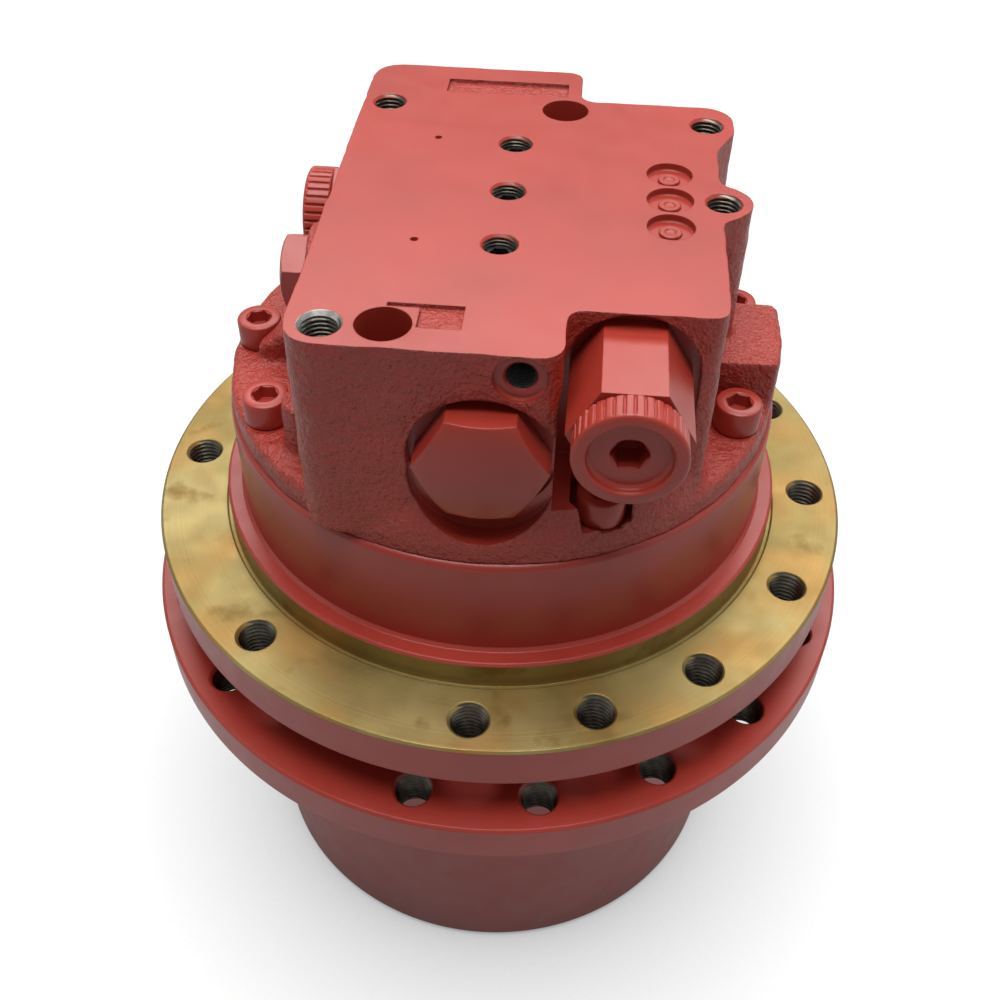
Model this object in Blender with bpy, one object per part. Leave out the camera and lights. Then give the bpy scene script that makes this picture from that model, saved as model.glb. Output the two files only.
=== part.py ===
"""Excavator final drive: a hydraulic track motor with a two-stage planetary gearbox.

The frame side is a spindle with the frame flange, and the valve block screwed on its top. The hub
turns round the spindle on two ball bearings, and carries the sprocket flange and the gearbox cover.
Z is the axis of the drive, z = 0 is the cover's face, and the valve block's front looks along -Y.
"""

import math

import bmesh
import bpy
from mathutils import Matrix, Vector

MM = 0.001
DEGREE = math.radians(1.0)

# Gaps and cutter lengths
CLEARANCE = 0.3 * MM
BORE_FIT = 0.8 * MM
AXIAL_PLAY = 0.5 * MM
OVERRUN = 2.0 * MM
WELD = 0.001 * MM

# How round things are
FLANGE_FACETS = 32
BEARING_FACETS = 24
BORE_FACETS = 20
SMALL_FACETS = 12
HOLE_FACETS = 8
CORNER_STEPS = 3
HEX = 6
SMOOTH_ANGLE = 30.0 * DEGREE

# Gearing
MODULE = 3.0 * MM
RING_TEETH = 60
SUN_TEETH = 12
PLANET_TEETH = (RING_TEETH - SUN_TEETH) // 2
PLANETS = 3
PRESSURE_ANGLE = 20.0 * DEGREE
DEDENDUM_SHARE = 1.25
BACKLASH = 0.12 * MM
SUN_FLANK_POINTS = 3
PLANET_FLANK_POINTS = 2
CENTRE_DISTANCE = MODULE * (SUN_TEETH + PLANET_TEETH) / 2
RING_PITCH_RADIUS = MODULE * RING_TEETH / 2
RING_TIP_RADIUS = RING_PITCH_RADIUS - MODULE
RING_ROOT_RADIUS = RING_PITCH_RADIUS + DEDENDUM_SHARE * MODULE

# Gearbox cover, its retaining ring and its oil plugs
COVER_THICKNESS = 12.0 * MM
COVER_RIM = 1.0 * MM
COVER_RADIUS = RING_ROOT_RADIUS + COVER_RIM
COVER_STEP = 4.8 * MM
RETAINING_RING_THICKNESS = 2.5 * MM
RETAINING_RING_WIDTH = 6.0 * MM
RETAINING_GROOVE_DEPTH = 2.5 * MM
RETAINING_RING_OPENING = 14.0 * DEGREE
COVER_BOSS_GAP = 4.0 * MM
COVER_BOSS_RADIUS = COVER_RADIUS - RETAINING_RING_WIDTH - COVER_BOSS_GAP
COVER_DISH_RADIUS = 34.0 * MM
COVER_DISH_DEPTH = 2.0 * MM
OIL_PLUG_RADIUS = 10.0 * MM
OIL_PLUG_OFFSET = 62.0 * MM
OIL_PLUG_HEAD_DEPTH = 1.5 * MM
OIL_PLUG_SOCKET = 8.0 * MM
OIL_PLUG_SOCKET_DEPTH = 5.0 * MM
OIL_PLUG_ANGLES = (90.0 * DEGREE, 270.0 * DEGREE)

# First gear stage, next to the cover
FIRST_FACE_WIDTH = 22.0 * MM
FIRST_PLANET_BORE = 10.0 * MM
PIN_HEAD_WIDTH = 3.0 * MM
PIN_HEAD_RIM = 3.5 * MM
COVER_TO_PIN_HEAD = 2.5 * MM
CARRIER_RIM = 16.0 * MM
CARRIER_RADIUS = CENTRE_DISTANCE + CARRIER_RIM
CARRIER_THICKNESS = 10.0 * MM
CARRIER_BORE = 24.0 * MM
CARRIER_NOTCH_RADIUS = 24.0 * MM

# Second gear stage, whose planets run on pins fixed in the spindle
SECOND_FACE_WIDTH = 36.0 * MM
SECOND_PLANET_BORE = 12.0 * MM
SECOND_PIN_HEAD_RIM = 4.5 * MM
CARRIER_TO_PIN_HEAD = 2.0 * MM

# Heights of the gear train, stacked up from the cover
FIRST_HEAD_Z = COVER_THICKNESS + COVER_TO_PIN_HEAD
FIRST_PLANET_Z = FIRST_HEAD_Z + PIN_HEAD_WIDTH + AXIAL_PLAY
CARRIER_Z = FIRST_PLANET_Z + FIRST_FACE_WIDTH + AXIAL_PLAY
SECOND_HEAD_Z = CARRIER_Z + CARRIER_THICKNESS + CARRIER_TO_PIN_HEAD
SECOND_PLANET_Z = SECOND_HEAD_Z + PIN_HEAD_WIDTH + AXIAL_PLAY
SPINDLE_FOOT_Z = SECOND_PLANET_Z + SECOND_FACE_WIDTH + AXIAL_PLAY
FIRST_SUN_Z = FIRST_PLANET_Z - MODULE

# Main ball bearings between the spindle and the hub, just inside the ring gear's tips
BEARING_TO_TIPS = 1.0 * MM
BEARING_SECTION = 20.0 * MM
BEARING_WIDTH = 20.0 * MM
BEARING_OUTER_RADIUS = RING_TIP_RADIUS - BEARING_TO_TIPS
BEARING_SEAT_RADIUS = BEARING_OUTER_RADIUS - BEARING_SECTION
BEARING_RING_SHARE = 0.3
BEARING_GROOVE_SHARES = (0.12, 0.4, 0.22)
BEARING_RING_THICKNESS = BEARING_RING_SHARE * BEARING_SECTION
BEARING_GROOVE_DEPTH, BEARING_GROOVE_WIDTH, BEARING_GROOVE_FLOOR_WIDTH = (
    share * BEARING_SECTION for share in BEARING_GROOVE_SHARES
)
BEARING_RIB_WIDTH = 3.4 * MM
BEARING_RIB_DEPTH = 4.5 * MM
BALLS = 10
BALL_SHARE = 0.25
BALL_RADIUS = BALL_SHARE * BEARING_SECTION
CAGE_SHARES = (0.1, 0.2)
CAGE_THICKNESS, CAGE_WIDTH = (share * BEARING_SECTION for share in CAGE_SHARES)
LOCK_NUT_WIDTH = 6.0 * MM
LOCK_NUT_WALL = 11.0 * MM
LOCK_NUT_RADIUS = BEARING_SEAT_RADIUS + LOCK_NUT_WALL
LOCK_NUT_SLOTS = 6
LOCK_NUT_SLOT_WIDTH = 8.0 * MM
LOCK_NUT_SLOT_DEPTH = 3.0 * MM
LOCK_NUT_GAP = 1.5 * MM
LOCK_NUT_Z = SPINDLE_FOOT_Z + LOCK_NUT_GAP
LOWER_BEARING_Z = LOCK_NUT_Z + LOCK_NUT_WIDTH + CLEARANCE
UPPER_BEARING_Z = LOWER_BEARING_Z + BEARING_WIDTH + BEARING_RIB_WIDTH + 2 * CLEARANCE
BEARING_TOP_Z = UPPER_BEARING_Z + BEARING_WIDTH + CLEARANCE

# Floating face seal between the hub and the spindle, above the bearings
SEAL_RING_WIDTH = 9.6 * MM
SEAL_LIP_WIDTH = 3.0 * MM
SEAL_FLOOR_GAP = 1.5 * MM
SEAL_FLOOR_Z = BEARING_TOP_Z + SEAL_FLOOR_GAP
SEAL_FACE_Z = SEAL_FLOOR_Z + CLEARANCE + SEAL_RING_WIDTH
SEAL_ROOF_Z = SEAL_FACE_Z + 2 * CLEARANCE + SEAL_RING_WIDTH

# Hub with the sprocket flange, from the cover's seat outwards and from the seal's roof down
HUB_WALL = 10.45 * MM
HUB_RADIUS = COVER_RADIUS + HUB_WALL
HUB_EDGE = 3.0 * MM
HUB_COLLAR_STEP = 12.8 * MM
HUB_COLLAR_RADIUS = HUB_RADIUS + HUB_COLLAR_STEP
HUB_COLLAR_HEIGHT = 12.0 * MM
HUB_COLLAR_DROP = 1.4 * MM
HUB_COLLAR_TOP_Z = SEAL_ROOF_Z - HUB_COLLAR_DROP
SPROCKET_HOLE_INSET = 10.2 * MM
SPROCKET_HOLE_EDGE = 13.3 * MM
SPROCKET_HOLE_CIRCLE = HUB_COLLAR_RADIUS + SPROCKET_HOLE_INSET
SPROCKET_FLANGE_RADIUS = SPROCKET_HOLE_CIRCLE + SPROCKET_HOLE_EDGE
SPROCKET_FLANGE_THICKNESS = 17.0 * MM
SPROCKET_FLANGE_TOP_Z = HUB_COLLAR_TOP_Z - HUB_COLLAR_HEIGHT
SPROCKET_FLANGE_Z = SPROCKET_FLANGE_TOP_Z - SPROCKET_FLANGE_THICKNESS
SPROCKET_FLANGE_EDGE = 1.2 * MM
SPROCKET_FLANGE_FILLET = 4.0 * MM
SPROCKET_HOLE_RADIUS = 6.0 * MM
SPROCKET_HOLE_PITCH = 20.0 * DEGREE
SPROCKET_HOLE_PLACES = 18
SPROCKET_HOLE_START = 1.2 * DEGREE
SPROCKET_HOLES_LEFT_OUT = (3, 12)

# The seal's rings sit inside the hub's collar, and the spindle's waist inside them
SEAL_WALL = 21.0 * MM
SEAL_RING_SECTION = 12.2 * MM
SPINDLE_WAIST_GAP = 4.0 * MM
SEAL_SEAT_RADIUS = HUB_COLLAR_RADIUS - SEAL_WALL
SEAL_RING_OUTER = SEAL_SEAT_RADIUS - BORE_FIT
SEAL_RING_INNER = SEAL_RING_OUTER - SEAL_RING_SECTION
SPINDLE_WAIST_RADIUS = SEAL_RING_INNER - SPINDLE_WAIST_GAP

# Spindle with the frame flange, on the same steps as the hub's collar
FRAME_HOLE_INSET = 4.3 * MM
FRAME_HOLE_EDGE = 12.7 * MM
FRAME_HOLE_CIRCLE = HUB_COLLAR_RADIUS + FRAME_HOLE_INSET
FRAME_FLANGE_RADIUS = FRAME_HOLE_CIRCLE + FRAME_HOLE_EDGE
FRAME_FLANGE_LIFT = 7.4 * MM
FRAME_FLANGE_Z = HUB_COLLAR_TOP_Z + FRAME_FLANGE_LIFT
FRAME_FLANGE_THICKNESS = 18.6 * MM
FRAME_FLANGE_EDGE = 1.0 * MM
FRAME_FLANGE_TOP_Z = FRAME_FLANGE_Z + FRAME_FLANGE_THICKNESS
FRAME_HOLE_RADIUS = 6.1 * MM
FRAME_HOLE_SINK = 1.3 * MM
FRAME_HOLE_ANGLES = tuple(
    angle * DEGREE for angle in (-130, -90, -70, -50, -25, 0, 25, 50, 70, 90, 130, 180)
)
SKIRT_GAP = 0.8 * MM
PILOT_INSET = 14.7 * MM
PILOT_RADIUS = FRAME_HOLE_CIRCLE - PILOT_INSET
PILOT_HEIGHT = 10.6 * MM
PILOT_GROOVE_WIDTH = 1.8 * MM
PILOT_GROOVE_DEPTH = 0.6 * MM
NECK_STEP = 6.8 * MM
NECK_RADIUS = PILOT_RADIUS - NECK_STEP
NECK_HEIGHT = 51.4 * MM
NECK_TOP_Z = FRAME_FLANGE_TOP_Z + NECK_HEIGHT
NECK_CHAMFER = 3.0 * MM
NECK_WALL = 20.8 * MM
MOTOR_ROOM_RADIUS = NECK_RADIUS - NECK_WALL
MOTOR_ROOM_DROP = 0.8 * MM
MOTOR_ROOM_FLOOR_Z = FRAME_FLANGE_TOP_Z - MOTOR_ROOM_DROP
SWASH_ROOM_WALL = 10.0 * MM
SWASH_ROOM_RADIUS = BEARING_SEAT_RADIUS - SWASH_ROOM_WALL
SPINDLE_FLOOR_THICKNESS = 14.0 * MM
SWASH_ROOM_FLOOR_Z = SPINDLE_FOOT_Z + SPINDLE_FLOOR_THICKNESS
SHAFT_HOLE_RADIUS = 20.0 * MM
SHAFT_LIP = 2.0 * MM

# Motor shaft and its bearings
GEAR_SHAFT_RADIUS = 8.0 * MM
SUN_BORE = GEAR_SHAFT_RADIUS + 2 * CLEARANCE
LOWER_SHAFT_SEAT_RADIUS = 15.7 * MM
LOWER_SHAFT_BEARING_SECTION = 12.0 * MM
LOWER_SHAFT_BEARING_RADIUS = LOWER_SHAFT_SEAT_RADIUS + LOWER_SHAFT_BEARING_SECTION
SHAFT_RADIUS = 14.0 * MM
UPPER_SHAFT_SEAT_STEP = 2.0 * MM
UPPER_SHAFT_SEAT_RADIUS = SHAFT_RADIUS - UPPER_SHAFT_SEAT_STEP
UPPER_SHAFT_BEARING_SECTION = 10.0 * MM
UPPER_SHAFT_BEARING_RADIUS = UPPER_SHAFT_SEAT_RADIUS + UPPER_SHAFT_BEARING_SECTION
UPPER_SHAFT_BEARING_WIDTH = 10.0 * MM
SPLINE_COLLAR_STEP = 3.0 * MM
SPLINE_COLLAR_RADIUS = SHAFT_RADIUS + SPLINE_COLLAR_STEP
SPLINE_COLLAR_WIDTH = 3.0 * MM

# Swash plate, which tilts on two cradles
SWASH_PIVOT_HEIGHT = 33.5 * MM
SWASH_PIVOT_Z = SWASH_ROOM_FLOOR_Z + SWASH_PIVOT_HEIGHT
SWASH_ANGLE = 15.0 * DEGREE
SWASH_ROOM_GAP = 14.0 * MM
SWASH_RADIUS = SWASH_ROOM_RADIUS - SWASH_ROOM_GAP
SWASH_THICKNESS = 9.0 * MM
SWASH_BORE_GAP = 4.0 * MM
SWASH_BORE = SHAFT_RADIUS + SWASH_BORE_GAP
CRADLE_RADIUS = 21.8 * MM
CRADLE_WIDTH = 10.0 * MM
CRADLE_INSET = 7.5 * MM
CRADLE_OFFSET = SWASH_RADIUS - CRADLE_INSET
SADDLE_HALF_LENGTH = 18.0 * MM
SADDLE_DROP = 17.0 * MM
SADDLE_TOP_Z = SWASH_PIVOT_Z - SADDLE_DROP

# Cylinder block and pistons
CYLINDER_BLOCK_GAP = 10.0 * MM
CYLINDER_BLOCK_RADIUS = SWASH_ROOM_RADIUS - CYLINDER_BLOCK_GAP
CYLINDER_BLOCK_LIFT = 20.0 * MM
CYLINDER_BLOCK_Z = SWASH_PIVOT_Z + CYLINDER_BLOCK_LIFT
CYLINDER_BLOCK_CHAMFER = 2.0 * MM
PISTONS = 7
PISTON_INSET = 15.0 * MM
PISTON_CIRCLE = CYLINDER_BLOCK_RADIUS - PISTON_INSET
PISTON_RADIUS = 7.5 * MM
PISTON_LENGTH = 48.0 * MM
SHOE_RADIUS = 9.5 * MM
SHOE_THICKNESS = 3.0 * MM
SHOE_NECK_RADIUS = 4.5 * MM
SHOE_NECK_LENGTH = 4.0 * MM
SHOE_LIFT = 12.5 * MM
SHOE_Z = SWASH_PIVOT_Z + SHOE_LIFT
PORT_DEPTH = 12.0 * MM
PORT_WIDTH = 7.0 * MM

# Valve block: base flange, body and the spigot that closes the motor room
BASE_STEP = 1.4 * MM
BASE_RADIUS = NECK_RADIUS - BASE_STEP
BASE_Z = NECK_TOP_Z + CLEARANCE
BASE_THICKNESS = 9.0 * MM
BASE_EDGE = 3.0 * MM
DECK_Z = BASE_Z + BASE_THICKNESS
BLOCK_HEIGHT = 68.5 * MM
BLOCK_TOP_Z = DECK_Z + BLOCK_HEIGHT
SPIGOT_LENGTH = 14.0 * MM
SPIGOT_Z = BASE_Z - SPIGOT_LENGTH
VALVE_PLATE_STEP = 2.0 * MM
VALVE_PLATE_RADIUS = CYLINDER_BLOCK_RADIUS - VALVE_PLATE_STEP
VALVE_PLATE_THICKNESS = 6.0 * MM
VALVE_PLATE_Z = SPIGOT_Z - CLEARANCE - VALVE_PLATE_THICKNESS
CYLINDER_BLOCK_TOP_Z = VALVE_PLATE_Z - CLEARANCE
KIDNEY_SHARES = (0.15, 0.325, 0.5, 0.675, 0.85)

# Parking brake, between the motor room's floor and the spigot
BRAKE_DISC_GAP = 6.0 * MM
BRAKE_DISC_RADIUS = MOTOR_ROOM_RADIUS - BRAKE_DISC_GAP
BRAKE_DISC_THICKNESS = 5.5 * MM
BRAKE_DISC_Z = MOTOR_ROOM_FLOOR_Z + AXIAL_PLAY
BRAKE_PISTON_GAP = 6.0 * MM
BRAKE_PISTON_BORE = CYLINDER_BLOCK_RADIUS + BRAKE_PISTON_GAP
BRAKE_STROKE = 2.0 * MM
BRAKE_END_GAP = 0.7 * MM
BRAKE_PISTON_Z = BRAKE_DISC_Z + BRAKE_DISC_THICKNESS + CLEARANCE
BRAKE_PISTON_TOP_Z = SPIGOT_Z - BRAKE_STROKE - BRAKE_END_GAP
BRAKE_STEP_SHARE = 0.25
BRAKE_SHOULDER_SHARE = 0.33

# Outline of the valve block's top
BLOCK_LEFT_X = -56.5 * MM
BLOCK_RIGHT_X = 70.6 * MM
BLOCK_FRONT_Y = -93.3 * MM
BLOCK_BACK_Y = 86.4 * MM
NOTCH_X = 23.5 * MM
NOTCH_DEPTH = 23.5 * MM
NOTCH_Y = BLOCK_FRONT_Y + NOTCH_DEPTH
BACK_STEP_X = 22.4 * MM
BACK_STEP_DEPTH = 23.6 * MM
BACK_STEP_Y = BLOCK_BACK_Y - BACK_STEP_DEPTH
BLOCK_CORNER = 10.5 * MM
BLOCK_SMALL_CORNER = 5.0 * MM
RIGHT_LUG_PLACE = (BLOCK_RIGHT_X + 0.8 * MM, -4.7 * MM)
REAR_LUG_PLACE = (BLOCK_RIGHT_X - 2.8 * MM, BACK_STEP_Y - 13.9 * MM)
LUG_RADIUS = 9.6 * MM
LUG_CORNER_SHARE = 0.95

# Holes and recesses in the top face
LEFT_REAR_TAP_PLACE = (BLOCK_LEFT_X + 9.3 * MM, BLOCK_BACK_Y - 31.4 * MM)
LEFT_FRONT_TAP_PLACE = (BLOCK_LEFT_X + 10.7 * MM, BLOCK_FRONT_Y + 9.7 * MM)
TOP_TAP_RADIUS = 5.2 * MM
TOP_TAP_DEPTH = 22.0 * MM
TOP_TAP_SINK = 0.8 * MM
DEEP_BORE_RADIUS = 8.3 * MM
DEEP_BORE_DEPTH = 25.0 * MM
REAR_DEEP_BORE_PLACE = (BACK_STEP_X - 5.3 * MM, BACK_STEP_Y - 8.0 * MM)
FRONT_DEEP_BORE_PLACE = (-28.0 * MM, -82.0 * MM)
GALLERY_X = 1.1 * MM
GALLERY_YS = (27.9 * MM, -4.5 * MM, -36.9 * MM)
GALLERY_PLUG_RADIUS = 5.3 * MM
GALLERY_PLUG_LENGTH = 10.0 * MM
GALLERY_PLUG_DEPTH = 3.5 * MM
GALLERY_SOCKET = 6.0 * MM
GALLERY_SOCKET_DEPTH = 5.0 * MM
EXPANDER_INSET = 16.6 * MM
EXPANDER_X = BLOCK_RIGHT_X - EXPANDER_INSET
EXPANDER_Y = -4.6 * MM
EXPANDER_PITCH = 16.7 * MM
EXPANDER_RECESS_RADIUS = 7.7 * MM
EXPANDER_RECESS_DEPTH = 2.6 * MM
EXPANDER_RADIUS = 3.7 * MM
EXPANDER_HEIGHT = 1.0 * MM
EXPANDER_DIMPLE_RADIUS = 1.9 * MM
REAR_PANEL_PLACE = (-5.0 * MM, BLOCK_BACK_Y - 15.4 * MM)
REAR_PANEL_SIZE = (45.0 * MM, 10.5 * MM)
FRONT_PANEL_PLACE = (-8.6 * MM, BLOCK_FRONT_Y + 15.4 * MM)
FRONT_PANEL_SIZE = (20.0 * MM, 11.0 * MM)
PANEL_DEPTH = 1.4 * MM

# Counterbalance valve, along Y through the block
SPOOL_X = GALLERY_X
SPOOL_HEIGHT = 29.5 * MM
SPOOL_Z = DECK_Z + SPOOL_HEIGHT
SPOOL_RADIUS = 10.0 * MM
SPOOL_WAIST_RADIUS = 6.5 * MM
SPOOL_HALF_LENGTH = 36.0 * MM
SPOOL_LAND_LENGTH = 14.0 * MM
SPOOL_NOSE_RADIUS = 4.5 * MM
SPOOL_NOSE_LENGTH = 8.0 * MM
SPOOL_MID_Y = (BLOCK_FRONT_Y + BLOCK_BACK_Y) / 2
SPOOL_CAP_FLATS = 36.0 * MM
SPOOL_CAP_HEIGHT = 12.0 * MM
SPOOL_CAP_THREAD_RADIUS = 14.0 * MM
SPOOL_CAP_THREAD_LENGTH = 22.0 * MM
HEX_FACE_SHARE = 0.95
HEX_CHAMFER_ANGLE = 30.0 * DEGREE
SPOT_FACE_RADIUS = 22.8 * MM
SPOT_FACE_DEPTH = 5.0 * MM
SPRING_RADIUS = 7.0 * MM
SPRING_WIRE = 1.0 * MM
SPRING_TURNS = 4
SPRING_STEPS = 8
SPRING_SIDES = 4
PILOT_PORT_X = NOTCH_X - 11.6 * MM
PILOT_PORT_DROP = 8.4 * MM
PILOT_PORT_Z = BLOCK_TOP_Z - PILOT_PORT_DROP
PILOT_PORT_RADIUS = 4.6 * MM
PILOT_PORT_DEPTH = 16.0 * MM
PILOT_FACE_RADIUS = 8.0 * MM
PILOT_FACE_DEPTH = 2.0 * MM

# Hose adapters and their knurled caps
ADAPTER_FLATS = 32.0 * MM
ADAPTER_BORE = 9.0 * MM
ADAPTER_THREAD_RADIUS = 13.0 * MM
ADAPTER_THREAD_LENGTH = 16.0 * MM
FRONT_ADAPTER_INSET = 20.1 * MM
FRONT_ADAPTER_X = NOTCH_X + FRONT_ADAPTER_INSET
FRONT_ADAPTER_DROP = 21.4 * MM
FRONT_ADAPTER_Z = BLOCK_TOP_Z - FRONT_ADAPTER_DROP
FRONT_ADAPTER_LENGTH = 34.8 * MM
FRONT_SEAT_DEPTH = 5.0 * MM
LEFT_ADAPTER_Y = 25.0 * MM
LEFT_ADAPTER_HEIGHT = 38.5 * MM
LEFT_ADAPTER_Z = DECK_Z + LEFT_ADAPTER_HEIGHT
LEFT_ADAPTER_LENGTH = 6.5 * MM
ADAPTER_POCKET_RADIUS = 21.0 * MM
CAP_RADIUS = 16.6 * MM
CAP_LENGTH = 9.8 * MM
CAP_DISH_RADIUS = 12.3 * MM
CAP_DISH_DEPTH = 3.0 * MM
CAP_SOCKET = 10.0 * MM
CAP_SOCKET_DEPTH = 5.5 * MM
CAP_STEM_RADIUS = ADAPTER_BORE - CLEARANCE
CAP_STEM_LENGTH = 9.0 * MM

# Check valve plug on the left side
SIDE_PLUG_Y = -10.0 * MM
SIDE_PLUG_HEIGHT_ABOVE_DECK = 36.5 * MM
SIDE_PLUG_Z = DECK_Z + SIDE_PLUG_HEIGHT_ABOVE_DECK
SIDE_PLUG_FLATS = 24.0 * MM
SIDE_PLUG_HEIGHT = 9.0 * MM
SIDE_PLUG_THREAD_RADIUS = 9.0 * MM
SIDE_PLUG_THREAD_LENGTH = 15.0 * MM
SIDE_BOSS_RADIUS = 17.0 * MM
SIDE_BOSS_HEIGHT = 9.0 * MM

# Cast forms on the base, each as high above the deck as the photograph shows it
RIGHT_PAD_HEIGHT = 18.5 * MM
RIGHT_PAD_FRONT_Y = -23.0 * MM
RIGHT_PAD_BACK_Y = 14.0 * MM
LEFT_RIB_BACK_Y = -2.0 * MM
LEFT_RIB_WIDTH = 14.0 * MM
LEFT_RIB_HEIGHT = 21.5 * MM
LEFT_RIB_INSET = 11.4 * MM
LEFT_RIB_REACH_X = LEFT_RIB_INSET - BASE_RADIUS
LEFT_RIB_END_HEIGHT = 6.0 * MM
LEFT_BOSS_PLACE = (BLOCK_LEFT_X - 4.0 * MM, -58.0 * MM)
LEFT_BOSS_RADIUS = 8.0 * MM
LEFT_BOSS_HEIGHT = 19.5 * MM
FRONT_PAD_HEIGHT = 8.5 * MM
FRONT_PAD_WIDTH = 33.0 * MM
FRONT_PAD_ANGLES = (-80.0 * DEGREE, -45.0 * DEGREE)

# Socket-head screws that hold the valve block down
SCREW_INSET = 9.4 * MM
SCREW_CIRCLE = BASE_RADIUS - SCREW_INSET
SCREW_HEAD_RADIUS = 8.0 * MM
SCREW_HEAD_HEIGHT = 10.0 * MM
SCREW_HEAD_CHAMFER = 0.8 * MM
SCREW_SHANK_RADIUS = 5.0 * MM
SCREW_LENGTH = 32.0 * MM
SCREW_SOCKET = 8.0 * MM
SCREW_SOCKET_DEPTH = 5.0 * MM
SCREW_SEAT_RADIUS = 9.2 * MM
SCREW_SEAT_DEPTH = 0.4 * MM
SCREW_SEAT_Z = DECK_Z - SCREW_SEAT_DEPTH
SCREW_ANGLES = tuple(angle * DEGREE for angle in (-65.0, -21.5, 18.2, 60.0, 141.0, 181.2, 210.4))
SCREW_COUNTERBORE_DEPTH = 30.0 * MM

RED_PAINT = ("red_paint", "#88453F", 0.35, 0.0)
CAST_RED = ("red_casting", "#9A514B", 0.45, 0.0)
DARK_STEEL = ("dark_steel", "#4A4643", 0.45, 1.0)
BEARING_STEEL = ("bearing_steel", "#B9BABC", 0.2, 1.0)
GEAR_STEEL = ("gear_steel", "#8C8D90", 0.3, 1.0)
BRONZE = ("bronze", "#A8814A", 0.35, 1.0)
FRICTION = ("brake_lining", "#5C4A36", 0.8, 0.0)


def linear(value):
    """One sRGB channel, 0 to 1, as linear light."""
    return value / 12.92 if value <= 0.04045 else ((value + 0.055) / 1.055) ** 2.4


def material(finish):
    """The Principled material of a finish, made once."""
    name, code, roughness, metallic = finish
    made = bpy.data.materials.get(name)
    if made:
        return made
    made = bpy.data.materials.new(name)
    made.use_nodes = True
    shader = made.node_tree.nodes["Principled BSDF"]
    channels = [int(code[at : at + 2], 16) / 255 for at in (1, 3, 5)]
    shader.inputs["Base Color"].default_value = (*map(linear, channels), 1.0)
    shader.inputs["Roughness"].default_value = roughness
    shader.inputs["Metallic"].default_value = metallic
    return made


def along(place, direction):
    """Matrix that puts a shape's local Z on a direction from a place."""
    turn = Vector((0, 0, 1)).rotation_difference(Vector(direction)).to_matrix().to_4x4()
    return Matrix.Translation(place) @ turn


def polar(radius, angle, z):
    """Point at a radius and an angle round Z."""
    return Vector((radius * math.cos(angle), radius * math.sin(angle), z))


def turned(profile, facets, matrix=Matrix.Identity(4)):
    """Solid of revolution about local Z of a closed outline of (radius, z) points."""
    mesh = bmesh.new()
    points = [mesh.verts.new((radius, 0, z)) for radius, z in profile]
    edges = [mesh.edges.new(pair) for pair in zip(points, points[1:] + points[:1])]
    bmesh.ops.spin(
        mesh, geom=points + edges, cent=(0, 0, 0), axis=(0, 0, 1), angle=2 * math.pi, steps=facets
    )
    bmesh.ops.remove_doubles(mesh, verts=mesh.verts, dist=WELD)
    bmesh.ops.dissolve_degenerate(mesh, edges=mesh.edges, dist=WELD)
    bmesh.ops.recalc_face_normals(mesh, faces=mesh.faces)
    mesh.transform(matrix)
    return mesh


def prism(outline, low, high, matrix=Matrix.Identity(4)):
    """Outline of (x, y) points carried from one height to another along local Z."""
    mesh = bmesh.new()
    face = mesh.faces.new([mesh.verts.new((x, y, low)) for x, y in outline])
    grown = bmesh.ops.extrude_face_region(mesh, geom=[face])
    top = [item for item in grown["geom"] if isinstance(item, bmesh.types.BMVert)]
    bmesh.ops.translate(mesh, verts=top, vec=(0, 0, high - low))
    bmesh.ops.recalc_face_normals(mesh, faces=mesh.faces)
    mesh.transform(matrix)
    return mesh


def ring_of(radius, sides, turn=0.0):
    """Regular polygon of (x, y) points."""
    corners = [polar(radius, turn + step * 2 * math.pi / sides, 0) for step in range(sides)]
    return [(corner.x, corner.y) for corner in corners]


def hexagon(flats, turn=0.0):
    """Hexagon of a width across flats, with a flat up when its turn is zero."""
    return ring_of(flats / math.sqrt(3), HEX, turn)


def rectangle(place, size):
    """Rectangle of (x, y) points round a middle."""
    half_x, half_y = size[0] / 2, size[1] / 2
    corners = ((-half_x, -half_y), (half_x, -half_y), (half_x, half_y), (-half_x, half_y))
    return [(place[0] + x, place[1] + y) for x, y in corners]


def rounded(corners, steps=CORNER_STEPS):
    """Outline whose corners, each (x, y, radius), are rounded by arcs."""
    points = []
    for index, (x, y, radius) in enumerate(corners):
        here = Vector((x, y))
        before = (Vector(corners[index - 1][:2]) - here).normalized()
        after = (Vector(corners[(index + 1) % len(corners)][:2]) - here).normalized()
        if radius == 0:
            points.append((x, y))
            continue
        half = before.angle(after) / 2
        reach = radius / math.tan(half)
        middle = here + (before + after).normalized() * radius / math.sin(half)
        start = here + before * reach - middle
        sweep = start.angle_signed(here + after * reach - middle)
        for step in range(steps + 1):
            turned_by = Matrix.Rotation(-sweep * step / steps, 2) @ start
            points.append(tuple(middle + turned_by))
    return points


def hole(radius, depth, place, direction, sink=0.0, facets=HOLE_FACETS):
    """Cutter of a blind hole from a surface point, with a countersink if one is given."""
    profile = [(0, -depth), (radius, -depth), (radius, -sink), (radius + sink, 0)]
    profile += [(radius + sink, OVERRUN), (0, OVERRUN)]
    if sink == 0:
        profile = [(0, -depth), (radius, -depth), (radius, OVERRUN), (0, OVERRUN)]
    return turned(profile, facets, along(place, direction))


def joined(meshes):
    """One mesh that holds several apart from each other."""
    whole = bmesh.new()
    for mesh in meshes:
        data = bpy.data.meshes.new("joined")
        mesh.to_mesh(data)
        mesh.free()
        whole.from_mesh(data)
        bpy.data.meshes.remove(data)
    return whole


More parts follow.
